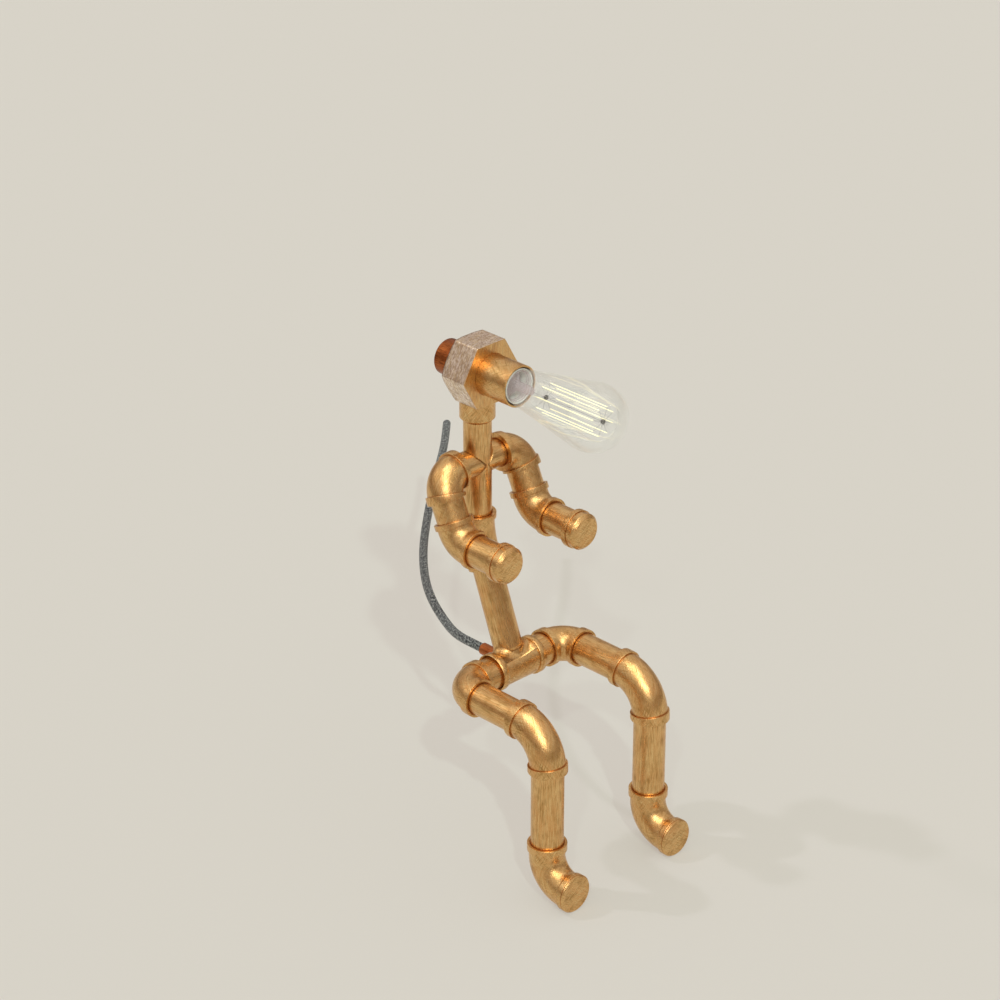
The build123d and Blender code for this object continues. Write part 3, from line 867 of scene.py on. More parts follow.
@dataclass
class Pipework:
    """The sizes that all of the figure's pipes and fittings share."""

    shop: Workshop
    limb_r: float = 14.0 * MM
    limb_wall: float = 1.0 * MM
    riser_r: float = 12.1 * MM
    spine_r: float = 12.7 * MM
    spine_wall: float = 1.2 * MM
    body_r: float = 15.4 * MM
    ring_r: float = 17.0 * MM
    leg_ring: float = 6.5 * MM
    arm_ring: float = 4.8 * MM
    leg_depth: float = 7.5 * MM
    arm_depth: float = 5.5 * MM

    def mouth(self, reach: float, tube_r: float, ring: float, depth: float,
              ring_r: float | None = None) -> Mouth:
        """A mouth that takes a tube of a given radius."""
        return Mouth(reach, tube_r + FIT, ring_r or self.ring_r, ring, depth)

    def tube(self, start: Array, end: Array) -> Shell:
        """A length of limb tube between two sockets' stops."""
        return straight_tube(start, end, self.limb_r, self.limb_wall)

    def elbow(self, corner: Array, first: tuple[Array, Mouth], second: tuple[Array, Mouth], bend: float,
              body_r: float | None = None) -> Shell:
        """A bent fitting's closed skin: one mouth, the body round the bend, the other mouth and the passage.

        Args:
            corner: Where its two axes meet.
            first: The direction of one mouth from the corner, and the mouth.
            second: The same for the other.
            bend: The bend's radius.
            body_r: The outer radius, where it isn't the limbs'.

        Returns:
            The shell.
        """
        (out, near), (on, far) = first, second
        line = Elbowed(corner + out * near.reach, corner, corner + on * far.reach, bend)
        passage = min(near.hole_r, far.hole_r) - self.limb_wall
        outer = body_r or self.body_r
        end = far.outline(outer)[::-1] * np.array([-1, 1, 1]) + np.array([line.length, 0, 0])
        outside = stepped(np.vstack([near.outline(outer), end]))
        back = stepped([(line.length - far.depth, passage, 1.0), (near.depth, passage, 1.0)], 3 * STATION)
        return carried(line, np.vstack([outside, back]))


@dataclass
class Leg:
    """One leg: nipple, hip elbow, thigh, knee elbow, shin, and the foot with its plug."""

    pipes: Pipework
    side: Side
    hip_reach: float = 24.3 * MM
    hip_bend: float = 20.0 * MM
    knee_reach: float = 35.3 * MM
    knee_bend: float = 33.0 * MM
    ankle_reach: float = 36.6 * MM
    ankle_bend: float = 25.0 * MM
    toe_reach: float = 32.4 * MM
    toe_slope: float = 1.6 * MM
    toe_round: float = 0.4 * MM
    plug_round: float = 0.2 * MM
    plug_thick: float = 2.0 * MM
    plug_edge: float = 1.2 * MM
    spigot_length: float = 5.0 * MM
    seam: float = 0.5 * MM
    end_play: float = 0.15 * MM
    tee_stop: float = 18.0 * MM

    def __post_init__(self) -> None:
        """Find the elbows' corners from the joints."""
        self.hip = PELVIS + LEFTWARD * self.side.value * HIP_HALF_WIDTH
        self.knee = np.array([self.hip[0], KNEE_Y, PELVIS[2]])
        self.ankle = np.array([self.hip[0], KNEE_Y, ANKLE_Z])

    def build(self) -> None:
        """Build the leg from the hip down."""
        pipes, word = self.pipes, self.side.word
        outward = LEFTWARD * self.side.value
        small = pipes.mouth(self.hip_reach, pipes.limb_r, pipes.leg_ring, pipes.arm_depth)
        knee = pipes.mouth(self.knee_reach, pipes.limb_r, pipes.leg_ring, pipes.leg_depth)
        ankle = pipes.mouth(self.ankle_reach, pipes.limb_r, pipes.leg_ring, pipes.leg_depth)
        nipple = pipes.tube(PELVIS + outward * self.tee_stop, self.hip - outward * small.stop)
        thigh = pipes.tube(self.hip + FORWARD * small.stop, self.knee + BACKWARD * knee.stop)
        shin = pipes.tube(self.knee + DOWN * knee.stop, self.ankle + UP * (ankle.stop + self.end_play))
        hip_elbow = pipes.elbow(self.hip, (-outward, small), (FORWARD, small), self.hip_bend)
        knee_elbow = pipes.elbow(self.knee, (BACKWARD, knee), (DOWN, knee), self.knee_bend)
        leg, foot = f"{word}_leg", f"{word}_foot"
        for part, finish, body, shell in (
            ("hip_nipple", DRAWN, "torso", nipple),
            ("hip_elbow", CAST, leg, hip_elbow),
            ("thigh_tube", DRAWN, leg, thigh),
            ("knee_elbow", CAST, leg, knee_elbow),
            ("shin_tube", DRAWN, leg, shin),
            ("ankle_elbow", CAST, foot, self.foot(ankle)),
            ("toe_plug", CAST, foot, self.plug()),
        ):
            pipes.shop.piece(f"{word}_{part}", finish, body, shell)

    def foot(self, ankle: Mouth) -> Shell:
        """The foot: a mouth at the shin, the bend, and a front end that swells softly to a ring."""
        pipes = self.pipes
        line = Elbowed(self.ankle + UP * ankle.reach, self.ankle, self.ankle + FORWARD * self.toe_reach,
                       self.ankle_bend)
        bore = pipes.limb_r - pipes.limb_wall
        end = line.length
        back = end - pipes.leg_ring
        toe = rounded([
            (back - STATION, pipes.body_r, 0), (back, pipes.body_r, 0),
            (back + self.toe_slope, pipes.ring_r, 0), (end - self.seam, pipes.ring_r, 0),
            (end, pipes.ring_r - self.seam, 1), (end, bore, 1), (end - STATION, bore, 1),
        ], self.toe_round)
        outside = stepped(np.vstack([ankle.outline(pipes.body_r), toe]))
        passage = stepped([(end - STATION, bore, 1.0), (ankle.depth, bore, 1.0)], 3 * STATION)
        return carried(line, np.vstack([outside, passage[1:]]))

    def plug(self) -> Shell:
        """The disc that closes the foot, on its spigot."""
        pipes = self.pipes
        spigot = pipes.limb_r - pipes.limb_wall - FIT
        outline = rounded([
            (-self.spigot_length, 0, 1), (-self.spigot_length, spigot, 1), (FIT, spigot, 1),
            (FIT, pipes.ring_r - self.seam, 0.8), (FIT + self.seam, pipes.ring_r, 0),
            (self.plug_thick - self.plug_edge, pipes.ring_r, 0),
            (self.plug_thick, pipes.ring_r - self.plug_edge, 0), (self.plug_thick, 0, 0),
        ], self.plug_round)
        front = Straight(self.ankle + FORWARD * self.toe_reach, FORWARD)
        return carried(front, stepped(outline), ring=False)


@dataclass
class Arm:
    """One arm: shoulder elbow, upper arm, arm elbow, forearm and the hand's end cap."""

    pipes: Pipework
    side: Side
    shoulder_reach: float = 20.5 * MM
    shoulder_bend: float = 19.0 * MM
    elbow_reach: float = 20.5 * MM
    elbow_bend: float = 21.0 * MM
    forearm_length: float = 60.2 * MM
    cap_length: float = 13.8 * MM
    cap_r: float = 16.1 * MM
    cap_edge: float = 2.9 * MM

    def build(self) -> None:
        """Build the arm from the shoulder to the hand."""
        pipes, word = self.pipes, self.side.word
        shoulder = np.array([self.side.value * SHOULDER_HALF_WIDTH, WAIST_Y, SHOULDER_Z])
        elbow = JOINT_AT[f"{word}_forearm_turn"]
        down = unit(elbow - shoulder)
        bar = pipes.mouth(self.shoulder_reach, pipes.riser_r, pipes.arm_ring, pipes.arm_depth)
        limb = pipes.mouth(self.shoulder_reach, pipes.limb_r, pipes.arm_ring, pipes.arm_depth)
        bent = pipes.mouth(self.elbow_reach, pipes.limb_r, pipes.arm_ring, pipes.arm_depth)
        cap_start = elbow + FORWARD * (self.forearm_length - self.cap_length)
        inward = LEFTWARD * -self.side.value
        upper, fore = f"{word}_upper_arm", f"{word}_forearm"
        for part, finish, body, shell in (
            ("shoulder_elbow", CAST, upper,
             pipes.elbow(shoulder, (inward, bar), (down, limb), self.shoulder_bend)),
            ("upper_arm_tube", CAST, upper,
             pipes.tube(shoulder + down * limb.stop, elbow - down * bent.stop)),
            ("arm_elbow", CAST, fore, pipes.elbow(elbow, (-down, bent), (FORWARD, bent), self.elbow_bend)),
            ("forearm_tube", DRAWN, fore,
             pipes.tube(elbow + FORWARD * bent.stop, cap_start + FORWARD * pipes.arm_depth)),
            ("hand_cap", CAST, fore, self.cap(cap_start)),
        ):
            pipes.shop.piece(f"{word}_{part}", finish, body, shell)

    def cap(self, start: Array) -> Shell:
        """The hand: a ring, a groove, a short body, a wide chamfer and a flat face."""
        pipes = self.pipes
        mouth = Mouth(0.0, pipes.limb_r + FIT, pipes.ring_r, pipes.arm_ring, pipes.arm_depth)
        length, edge = self.cap_length, self.cap_edge
        chamfer = rounded([
            (length - 2 * edge, self.cap_r, 0), (length - edge, self.cap_r, 0),
            (length, self.cap_r - edge, 0), (length, 0, 0),
        ], FINE_ROUND)
        outline = stepped(np.vstack([[(pipes.arm_depth, 0, 1)], mouth.outline(self.cap_r), chamfer]))
        return carried(Straight(start, FORWARD), outline, ring=False)


@dataclass
class Torso:
    """The pelvis tee, the leaning tube, the waist bend, the upright tube and the shoulder bar."""

    pipes: Pipework
    lean: float = 20.9
    branch: float = 13.0 * MM
    waist_reach_down: float = 31.0 * MM
    waist_reach_up: float = 20.1 * MM
    waist_bend: float = 90.0 * MM
    waist_body_r: float = 14.2 * MM
    waist_ring_r: float = 15.9 * MM
    shoulder_reach: float = 20.5 * MM

    def build(self) -> None:
        """Build the torso from the pelvis up."""
        pipes, shop = self.pipes, self.pipes.shop
        lean = np.radians(self.lean)
        up = np.array([0.0, np.sin(lean), np.cos(lean)])
        corner = PELVIS + up * (WAIST_Y / np.sin(lean))
        ends = ((self.waist_reach_down, pipes.spine_r), (self.waist_reach_up, pipes.riser_r))
        lower, upper = (pipes.mouth(reach, tube_r, pipes.arm_ring, pipes.leg_depth, self.waist_ring_r)
                        for reach, tube_r in ends)
        waist = pipes.elbow(corner, (-up, lower), (UP, upper), self.waist_bend, self.waist_body_r)
        spine = straight_tube(PELVIS + up * self.branch, corner - up * lower.stop, pipes.spine_r + 2 * FIT,
                              pipes.spine_wall)
        riser_end = np.array([0, WAIST_Y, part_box("upper_spine_tube")[1].z])
        riser = straight_tube(corner + UP * upper.stop, riser_end, pipes.riser_r, pipes.spine_wall)
        shop.piece("lower_spine_tube", DRAWN, "torso", spine)
        shop.piece("waist_elbow", CAST, "torso", waist)
        shop.piece("upper_spine_tube", DRAWN, "torso", riser)
        shop.piece("shoulder_bar", DRAWN, "torso", *(self.half_bar(side) for side in Side))

    def half_bar(self, side: Side) -> Shell:
        """Half the shoulder bar. Its inner end is cut to saddle on the upright tube: at an angle a round
        the bar the cut lies at sqrt(R^2 - (r cos a)^2) from the tube's axis, with a from level.

        Args:
            side: The side that it reaches to.

        Returns:
            The shell.
        """
        pipes = self.pipes
        reach = SHOULDER_HALF_WIDTH - self.shoulder_reach + pipes.arm_depth
        outline = tube_outline(0.0, reach, pipes.riser_r, pipes.riser_r - pipes.spine_wall)
        shell = carried(Straight(np.array([0.0, WAIST_Y, SHOULDER_Z]), LEFTWARD * side.value), outline)
        level = shell.points[:, 1] - WAIST_Y
        cut = np.sqrt(np.maximum((pipes.riser_r + FIT) ** 2 - level ** 2, 0))
        share = np.repeat(outline[:, 0], AROUND) / reach
        shell.points[:, 0] = side.value * (cut + (reach - cut) * share)
        return shell


@dataclass
class Head:
    """The collar, the hexagonal nut, the face barrel and the rear knob."""

    shop: Workshop
    corner_r: float = 31.75 * MM
    front: float = 25.61 * MM
    thick: float = 28.0 * MM
    rear_chamfer: float = 4.3 * MM
    rear_chamfer_depth: float = 2.0 * MM
    seat: float = 4.0 * MM
    sharpness: float = 90.0
    collar_r: float = 15.2 * MM
    collar_bore: float = 12.15 * MM
    collar_height: float = 18.6 * MM
    collar_edge: float = 2.8 * MM
    barrel_r: float = 18.2 * MM
    barrel_wall: float = 1.6 * MM
    barrel_length: float = 33.5 * MM
    barrel_tail: float = 10.0 * MM
    knob_r: float = 15.7 * MM
    knob_wall: float = 2.0 * MM
    knob_edge: float = 1.0 * MM
    knob_length: float = 24.2 * MM
    knob_clear: float = 1.0 * MM

    def build(self) -> None:
        """Build the head round its level axis."""
        shop = self.shop
        axis = Straight(np.array([0.0, self.front, HEAD_Z]), BACKWARD)
        shop.piece("head_block", NUT, "head", self.nut(axis))
        base = HEAD_Z - self.corner_r * np.cos(np.pi / 6) - self.collar_height
        height, collar_r = self.collar_height, self.collar_r
        outside = [(0, self.collar_bore, 0.2), (self.collar_edge, collar_r, 0), (height, collar_r, 0)]
        collar = stepped(np.vstack([rounded(outside), [(height, self.collar_bore, 1)]]))
        stand = Straight(np.array([0.0, WAIST_Y, base]), UP)
        shop.piece("head_collar", CAST, "head", carried(stand, collar))
        bore = self.barrel_r - self.barrel_wall
        barrel = rounded([(self.barrel_tail, self.barrel_r, 0), (-self.barrel_length, self.barrel_r, 0),
                          (-self.barrel_length, bore, 0.1), (self.barrel_tail, bore, 1)], FINE_ROUND)
        shop.piece("face_barrel", CAST, "head", carried(axis, stepped(barrel)))
        knob_axis = Straight(np.array([0.0, self.front + self.thick + self.knob_clear, HEAD_Z]), BACKWARD)
        hollow = self.knob_length - self.knob_wall
        inner = self.knob_r - self.knob_wall
        knob = disc_outline((hollow, 0), (hollow, inner), (0, inner), (0, self.knob_r),
                            (self.knob_length - self.knob_edge, self.knob_r),
                            (self.knob_length, self.knob_r - self.knob_edge), (self.knob_length, 0))
        shop.piece("switch_knob", KNOB, "knob", carried(knob_axis, knob, ring=False))

    def nut(self, axis: Straight) -> Shell:
        """The hexagonal nut. At an angle a its side lies at f / (sum of cos(a - k 60 deg)^p)^(1/p) over the
        six flats, f being a flat's distance, which rounds the corners finely; the rear is cut by a cone.

        Args:
            axis: The head's axis, from the nut's front.

        Returns:
            The shell.
        """
        # Degrees from a flat's middle, closest together at the corner, which lies at 30.
        sector = np.array([0, 8, 16, 22, 25.5, 27.5, 28.6, 29.3, 30, 30.7, 31.4, 32.5, 34.5, 38, 44, 52])
        angle = np.radians((sector[None, :] + 60 * np.arange(6)[:, None]).ravel())
        flats = np.radians(60 * np.arange(6))
        lobes = np.maximum(np.cos(angle[:, None] - flats[None, :]), 0) ** self.sharpness
        side = self.corner_r * np.cos(np.pi / 6) / lobes.sum(axis=1) ** (1 / self.sharpness)
        edge, thick, hole = EDGE_ROUND, self.thick, self.barrel_r + FIT
        slope = self.rear_chamfer_depth / self.rear_chamfer
        cut = np.clip(thick - self.rear_chamfer_depth + (self.corner_r - side) * slope, 0, thick - edge)
        rear_r = np.minimum(side - edge, self.corner_r - self.rear_chamfer - edge)
        rings = [(self.seat, 0.0, 1.0), (self.seat, hole, 1.0), (0.0, hole, 0.6)]
        rings += [(0.0, hole + (side - edge - hole) * share, 0.0) for share in (0.04, 0.3, 0.7, 0.97, 1.0)]
        rings += [(edge * 0.3, side - edge * 0.3, 0.0), (edge, side, 0.0), (3 * edge, side, 0.0)]
        rings += [(edge + (cut - edge) * share, side, 0.0) for share in (0.3, 0.6, 0.95, 1.0)]
        rings += [(cut + (thick - cut) * share, side + (rear_r - side) * share, 0.0)
                  for share in (0.1, 0.5, 0.9, 1.0)]
        rings += [(thick, rear_r * share, 0.0) for share in (0.97, 0.7, 0.4, 0.0)]
        along, radius, crevice = (np.array([ring[k] + 0 * side for ring in rings]).ravel() for k in range(3))
        centres, across, upward = axis.stations(along)
        turn = np.tile(angle + np.pi / 2, len(rings))[:, None]
        points = centres + radius[:, None] * (np.cos(turn) * across + np.sin(turn) * upward)
        faces = net(len(rings), len(angle))[-1]
        corners = points[faces]
        normal = np.cross(corners[:, 2] - corners[:, 0], corners[:, 3] - corners[:, 1])
        brushing = across_axis(corners, np.repeat(normal[:, None, :], 4, axis=1))
        return Shell(points, faces, crevice, brushing).turned_out()


@dataclass
class Bulb:
    """A slim filament bulb: blown glass, pressed stem, a cage of straight filaments, and its cap."""

    shop: Workshop
    radius: float = 29.2 * MM
    reach: float = 83.2 * MM
    neck_r: float = 12.9 * MM
    wall: float = 0.7 * MM
    stem_tip: float = 15.2 * MM
    flare_back: float = 8.0 * MM
    stem_profile: tuple = (
        ("flare", -4, 0), ("flare", -4, 11.6), ("flare", -3, 11.6), ("flare", -1, 4.8), ("neck", 0, 4.2),
        ("tip", -4, 4.0), ("tip", -1.5, 3.4), ("tip", 0, 2.2), ("tip", 0, 0),
    )
    wire_set: float = 2.0 * MM
    cage_r: float = 12.5 * MM
    filament_r: float = 0.34 * MM
    filament_count: int = 8
    filament_rear: float = 30.2 * MM
    filament_front: float = 94.5 * MM
    wire_r: float = 0.12 * MM
    hub_r: float = 2.2 * MM
    hub_half: float = 0.9 * MM
    neck_rings: int = 3
    ring_gap: float = 2.2 * MM
    ring_width: float = 0.7 * MM
    ring_thick: float = 0.5 * MM
    ring_clear: float = 0.1 * MM
    mouth_r: float = 14.3 * MM
    rim_r: float = 14.6 * MM
    rim_wall: float = 0.6 * MM
    rim_set: float = 0.4 * MM
    sleeve_set: float = 1.2 * MM
    sleeve_wall: float = 0.75 * MM

    def __post_init__(self) -> None:
        """Find the barrel's end along Y, how far inside it the glass starts, and how far the holder's
        front lies behind it."""
        self.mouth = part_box("face_barrel")[0].y
        self.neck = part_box("bulb_glass")[1].y - self.mouth
        self.sleeve_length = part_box("lamp_holder")[0].y - self.mouth
        self.start = np.array([0.0, self.mouth + self.neck, HEAD_Z])

    def glass_outline(self, inset: float) -> Array:
        """Half the glass's section: a straight cone that meets a ball on its tangent, the angle of
        which is asin(R / d) - atan(neck / run), d being the neck's distance from the ball's centre.

        Args:
            inset: How far inside the outer skin this one lies.

        Returns:
            Rows of distance from the neck, radius and crevice.
        """
        ball = self.radius - inset
        neck = self.neck_r - inset
        run = self.neck + self.reach
        slope = np.arcsin(ball / np.hypot(run, neck)) - np.arctan2(neck, run)
        angle = np.linspace(np.pi / 2 + slope, 0, 48)
        arc = np.stack([run + ball * np.cos(angle), ball * np.sin(angle), 0 * angle], axis=1)
        return np.vstack([stepped([(0.0, neck, 0.0), tuple(arc[0])], 2 * STATION), arc[1:]])

    def build(self) -> None:
        """Build the bulb from the glass inwards, the rim and sleeve inside the barrel's mouth, and dress
        what lies in the head."""
        shop = self.shop
        line = Straight(self.start, FORWARD)
        outline = np.vstack([self.glass_outline(0.0), self.glass_outline(self.wall)[::-1]])
        shop.piece("bulb_glass", GLASS, "bulb", carried(line, outline))
        shop.piece("bulb_stem", STEM_GLASS, "bulb", *self.stem(line))
        self.cage()
        shop.dress(CAP_METAL, "bulb_screw_cap")
        shop.dress(INSULATOR, "bulb_insulator")
        shop.dress(CONTACT, "bulb_tip_contact", "screw_shell", "centre_contact")
        shop.dress(PORCELAIN, "lamp_holder")
        back = self.neck + self.rim_set - self.sleeve_length
        # A thin ring of the holder's porcelain at the mouth, which also stands in for the bright edge of the
        # glass there: partly a painted highlight.
        rim_out = self.rim_r + self.rim_wall
        rim = tube_outline(back, self.neck - self.rim_set, rim_out, self.rim_r)
        shop.fit(write_mesh("lamp_holder_rim_look", [carried(line, rim)]), PORCELAIN, "head")
        # The sleeve is a dark sheet laid where there is only shadow, between the rim and the barrel: painted
        # shade.
        inner = rim_out + FIT
        sleeve = tube_outline(back, self.neck - self.sleeve_set, inner + self.sleeve_wall, inner)
        shop.fit(write_mesh("lamp_holder_sleeve_look", [carried(line, sleeve)]), PAINTED_SHADE_SLEEVE, "head")
        shop.dress(PLATED, "terminal_screws", "switch_nut", "switch_shaft")
        shop.dress(SWITCH_BODY, "rotary_switch")
        shop.dress(CORE_SKIN, "head_cores", "spine_cores")

    def stem(self, line: Line) -> list[Shell]:
        """The pressed stem on its flare, and thin rings of glass inside the neck."""
        marks = {"flare": self.neck - self.flare_back, "neck": self.neck, "tip": self.neck + self.stem_tip}
        corners = ((marks[mark] + ahead * MM, radius * MM) for mark, ahead, radius in self.stem_profile)
        glass = [carried(line, disc_outline(*corners), ring=False)]
        for step in range(self.neck_rings):
            at = self.neck - self.rim_set - step * self.ring_gap
            skin = self.neck_r + at * (self.mouth_r - self.neck_r) / self.neck
            inside = skin - self.wall - self.ring_clear
            ring = tube_outline(at - self.ring_width, at, inside, inside - self.ring_thick)
            glass.append(carried(line, ring))
        return glass

    def cage(self) -> None:
        """The filaments and the wires that hold them."""
        start = self.start
        ends = (self.neck + self.filament_rear, self.neck + self.filament_front)
        half = self.hub_half
        wires = [self.rod(start, FORWARD, self.neck + self.stem_tip - self.wire_set, ends[1], self.wire_r)]
        wires += [self.rod(start, FORWARD, at - half, at + half, self.hub_r) for at in ends]
        filaments = []
        for index in range(self.filament_count):
            angle = 2 * np.pi * (index + 0.5) / self.filament_count
            out = np.array([np.cos(angle), 0.0, np.sin(angle)])
            filaments.append(self.rod(start + out * self.cage_r, FORWARD, *ends, self.filament_r))
            spoke = self.cage_r - self.filament_r - FIT
            wires += [self.rod(start + FORWARD * at, out, 0.0, spoke, self.wire_r) for at in ends]
        self.shop.piece("filaments", FILAMENT, "bulb", *filaments)
        self.shop.piece("filament_supports", WIRE, "bulb", *wires)

    def rod(self, start: Array, direction: Array, low: float, high: float, radius: float) -> Shell:
        """A round-ended rod along a direction, from one distance to another."""
        nose = min(radius, (high - low) / 4)
        outline = np.array([(low, 0, 0), (low, radius * 0.6, 0), (low + nose * 0.4, radius, 0),
                            (high - nose * 0.4, radius, 0), (high, radius * 0.6, 0), (high, 0, 0)], float)
        return carried(Straight(start, direction), outline, ring=False, around=16)


@dataclass
class MainsCord:
    """The gland behind the pelvis and the braided cord that lies from it on the seat."""

    shop: Workshop
    diameter: float = 8.0 * MM
    length: float = 499.1 * MM
    arc_share: float = 0.49
    easing: int = 500
    gland_r: float = 5.3 * MM
    gland_tail_r: float = 4.8 * MM
    gland_tail: float = 2.4 * MM
    gland_gap: float = 0.1 * MM
    gland_shade: float = 2.0 * MM
    carriers: int = 12
    columns: int = 72
    braid_pitch: float = 18.0 * MM
    braid_depth: float = 0.22 * MM
    braid_step: float = 0.55 * MM
    valley_power: float = 1.5
    dome_share: float = 0.8
    dome_power: float = 0.75
    route: tuple = (
        (0.0, 36.2, 17.0), (0.0, 57.5, 17.0), (8.0, 80.0, 9.5), (21.5, 101.0, 4.2),
        (35.0, 132.0, 4.0), (58.0, 170.5, 4.0), (99.0, 219.0, 4.0), (150.5, 267.5, 4.0),
        (212.0, 322.0, 4.0), (269.0, 368.0, 4.0), (312.0, 409.5, 4.0),
    )

    def build(self) -> None:
        """Build the gland and the cord."""
        shop = self.shop
        shop.dress(TERMINAL, "terminal_block")
        shop.dress(BRAID, "cord_tail")
        low, high = (corner.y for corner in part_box("cord_gland"))
        bore = self.diameter / 2 + self.gland_gap
        shoulder = low + self.gland_tail
        outside = rounded([
            (low, self.gland_tail_r, 1), (shoulder, self.gland_tail_r, 1), (shoulder, self.gland_r, 0),
            (high, self.gland_r, 0), (high, bore, 0.4), (high - self.gland_shade, bore, 1),
        ])
        outline = stepped(np.vstack([[(low, bore, 1)], outside]))
        shop.piece("cord_gland", GLAND, "torso", carried(Straight(PELVIS, BACKWARD), outline))
        path = self.centre_line()
        cord = shop.piece("supply_cord", BRAID, "torso", self.sleeve(path))

    def centre_line(self) -> Array:
        """Straight runs joined by arcs. An arc starts a share of the shorter run before its corner, so its
        radius is that distance over the tangent of half the turn. Each inner point is then moved again and
        again to the middle between its neighbours' mean and itself, which takes the last stiffness out.

        Returns:
            Points along the line, in metres.
        """
        route = np.array(self.route) * MM
        points = [route[:1]]
        for before, corner, after in zip(route, route[1:], route[2:]):
            back, ahead = before - corner, after - corner
            reach = self.arc_share * min(np.linalg.norm(back), np.linalg.norm(ahead))
            turn = np.arccos(-unit(back) @ unit(ahead))
            bend = Elbowed(corner + unit(back) * reach, corner, corner + unit(ahead) * reach,
                           reach / np.tan(turn / 2))
            steps = max(6, int(bend.length / STATION))
            points.append(bend.stations(np.linspace(0, bend.length, steps))[0])
        points = np.vstack([*points, route[-1:]])
        arc = self.distances(points)
        points = self.sampled(np.linspace(0, arc[-1], int(arc[-1] / STATION)), arc, points)
        for _ in range(self.easing):
            points[1:-1] = points[1:-1] / 2 + (points[:-2] + points[2:]) / 4
        return points

    @staticmethod
    def distances(points: Array) -> Array:
        """How far along its line each point lies."""
        return np.concatenate([[0], np.cumsum(np.linalg.norm(np.diff(points, axis=0), axis=1))])

    @staticmethod
    def sampled(along: Array, arc: Array, rows: Array) -> Array:
        """Rows read between their own distances at other distances."""
        return np.stack([np.interp(along, arc, rows[:, k]) for k in range(3)], axis=1)

    def sleeve(self, path: Array) -> Shell:
        """The braid's surface. At a distance s and an angle a the two sets of n / 2 yarns have the phases
        u = n (a + pi s / p) / 2 and v = n (a - pi s / p) / 2, and a point lies below the cord's radius by the
        braid's depth times 1 - sqrt(|sin u sin v|), which leaves a valley along each yarn's edge. The far end
        is a dome.

        Args:
            path: The cord's centre line.

        Returns:
            The shell.
        """
        arc = self.distances(path)
        radius = self.diameter / 2
        nose = radius * self.dome_share
        body = np.arange(0, arc[-1] - nose, self.braid_step)
        dome = np.linspace(0, np.pi / 2, 10)
        along = np.concatenate([[0.0], body, arc[-1] - nose + nose * np.sin(dome)])
        shrink = np.concatenate([[0.0], np.ones_like(body), np.cos(dome) ** self.dome_power])
        centres = self.sampled(along, arc, path)
        tangent = unit(self.sampled(along, arc, np.gradient(path, axis=0)))
        side = unit(np.cross(tangent, UP))
        top = np.cross(side, tangent)
        angle = np.linspace(0, 2 * np.pi, self.columns, endpoint=False)
        twist = np.pi * self.carriers * along[:, None] / (2 * self.braid_pitch)
        u, v = self.carriers * angle / 2 + twist, self.carriers * angle / 2 - twist
        valley = 1 - np.clip(np.sqrt(np.abs(np.sin(u) * np.sin(v))), 0, 1)
        points = turned(centres, side, top, (radius - self.braid_depth * valley) * shrink[:, None], angle)
        row, down, column, faces = net(len(along), self.columns)
        brushing = wrapped(along, row, down, column, 2 * np.pi * radius / self.columns)
        # How deep in a valley each point lies sets its share of the braid's painted shade.
        crevice = (valley ** self.valley_power).ravel()
        return Shell(points, faces, crevice, brushing).turned_out()


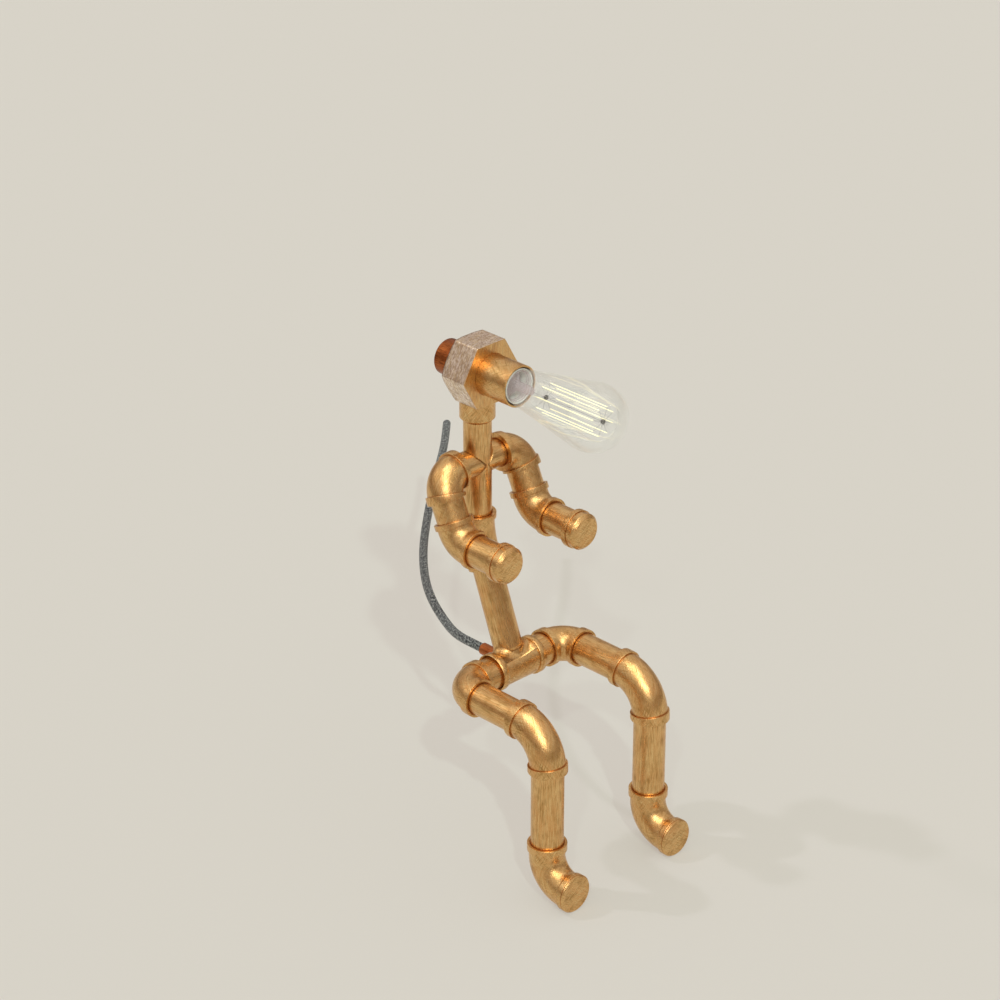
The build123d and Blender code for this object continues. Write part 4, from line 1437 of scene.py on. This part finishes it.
@dataclass
class Studio:
    """A pale floor, distant lamps for the shadows and the metal's sheen, a room for the metal to mirror,
    and the camera at the photograph's angle."""

    floor_z: float
    half_width: float = 4.5
    ground: str = "#D6D1C7"
    glow: float = 1.03
    lit_share: float = 0.45
    camera_at: tuple[float, float, float] = (-1.6970, -1.7157, 1.3849)
    looks_at: tuple[float, float, float] = (0.0803, 0.0973, 0.1103)
    lens: float = 116.4
    sensor: float = 36.0
    shadow_lamps: tuple = (
        ("left_rear_lamp", (-0.395, 0.507, 0.766), 2.0, 0.62, "#ECECFF"),
        ("camera_right_lamp", (-0.565, -0.825, 0.839), 1.5, 0.84, "#E4FFFA"),
        ("camera_left_lamp", (-0.797, -0.604, 0.839), 1.5, 0.42, "#E8FFFA"),
    )
    sheen_lamps: tuple = (
        ("left_rear_sheen", (-0.45, 0.62, 0.64), 30.0, 0.12, "#FFFBF0"),
        ("overhead_sheen", (-0.2, -0.1, 1.0), 40.0, 0.95, "#FFFBF0"),
        ("camera_sheen", (-0.45, -0.62, 0.70), 30.0, 0.95, "#FFFBF0"),
    )
    room: tuple = ((0.0, "#7C6A5A"), (0.2, "#A3958A"), (0.42, "#CCC3BC"), (0.76, "#E2DCD6"))

    def build(self) -> None:
        """Set up the stage."""
        self.floor()
        for lamps, unseen in ((self.shadow_lamps, "visible_glossy"), (self.sheen_lamps, "visible_diffuse")):
            for lamp in lamps:
                setattr(self.lamp(*lamp), unseen, False)
        self.world()
        self.camera()
        bpy.context.scene.view_settings.view_transform = "Standard"

    def aimed(self, name: str, data: bpy.types.ID, towards: Vector) -> bpy.types.Object:
        """A new lamp or camera that looks in a direction."""
        thing = linked(name, data)
        thing.rotation_euler = towards.to_track_quat("-Z", "Y").to_euler()
        return thing

    def floor(self) -> None:
        """A wide floor, partly self-lit in the photograph's ground colour, so that shadows stay faint."""
        half = self.half_width
        corners = [(-half, -half), (half, -half), (half, half), (-half, half)]
        mesh = bpy.data.meshes.new("studio_floor")
        mesh.from_pydata([(x, y, self.floor_z) for x, y in corners], [], [(0, 1, 2, 3)])
        graph = Graph.named("pale_studio_floor")
        matt = graph.add("BsdfDiffuse", Color=self.ground)
        glow = graph.add("Emission", Color=self.ground, Strength=self.glow)
        mix = graph.add("MixShader", Fac=1 - self.lit_share, in1=matt, in2=glow)
        mesh.materials.append(graph.finish(mix))
        linked("studio_floor", mesh)

    def lamp(self, name: str, towards: tuple, spread: float, power: float,
             colour: str) -> bpy.types.Object:
        """One distant lamp.

        Args:
            name: Its name.
            towards: The direction from the figure to it.
            spread: How wide it looks, in degrees.
            power: What reaches a surface that faces it.
            colour: Its hex colour.

        Returns:
            The lamp.
        """
        data = bpy.data.lights.new(name, "SUN")
        data.angle = np.radians(spread)
        data.energy = power
        data.color = linear(colour)[:3]
        return self.aimed(name, data, -Vector(towards))

    def world(self) -> None:
        """The room that the metal mirrors: dim and brown at the horizon, and paler with height. To the
        eye, and through the glass, it is as pale as the ground."""
        graph = Graph(bpy.data.worlds.new("studio_room"))
        height = graph.add("SeparateXYZ", output="Z", Vector=graph.add("TexCoord", output="Generated"))
        room = graph.add("ValToRGB", {"stops": self.room}, in0=height)
        eye, glass = (graph.add("LightPath", output=f"Is {ray} Ray") for ray in ("Camera", "Transmission"))
        seen = graph.add("Math", {"operation": "MAXIMUM"}, in0=eye, in1=glass)
        colour = graph.add(*MIX, in0=seen, in6=room, in7=self.ground)
        bpy.context.scene.world = graph.finish(graph.add("Background", Color=colour))

    def camera(self) -> None:
        """The camera, at the place and lens that the photograph gave."""
        data = bpy.data.cameras.new("photo_camera")
        data.lens = self.lens
        data.sensor_width = self.sensor
        thing = self.aimed("photo_camera", data, Vector(self.looks_at) - Vector(self.camera_at))
        thing.location = self.camera_at
        bpy.context.scene.camera = thing


def main() -> None:
    """Build the lamp's sub-assemblies in order, then the studio."""
    logging.basicConfig(level=logging.INFO, format="%(message)s")
    shop = Workshop()
    pipes = Pipework(shop)
    shop.fit(mapped_copy("pelvis_tee"), CAST, "torso", "pelvis_tee")
    Torso(pipes).build()
    for side in Side:
        Leg(pipes, side).build()
        Arm(pipes, side).build()
    Head(shop).build()
    Bulb(shop).build()
    MainsCord(shop).build()
    Studio(floor_z=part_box("left_ankle_elbow")[0].z).build()


if __name__ == "__main__":
    main()
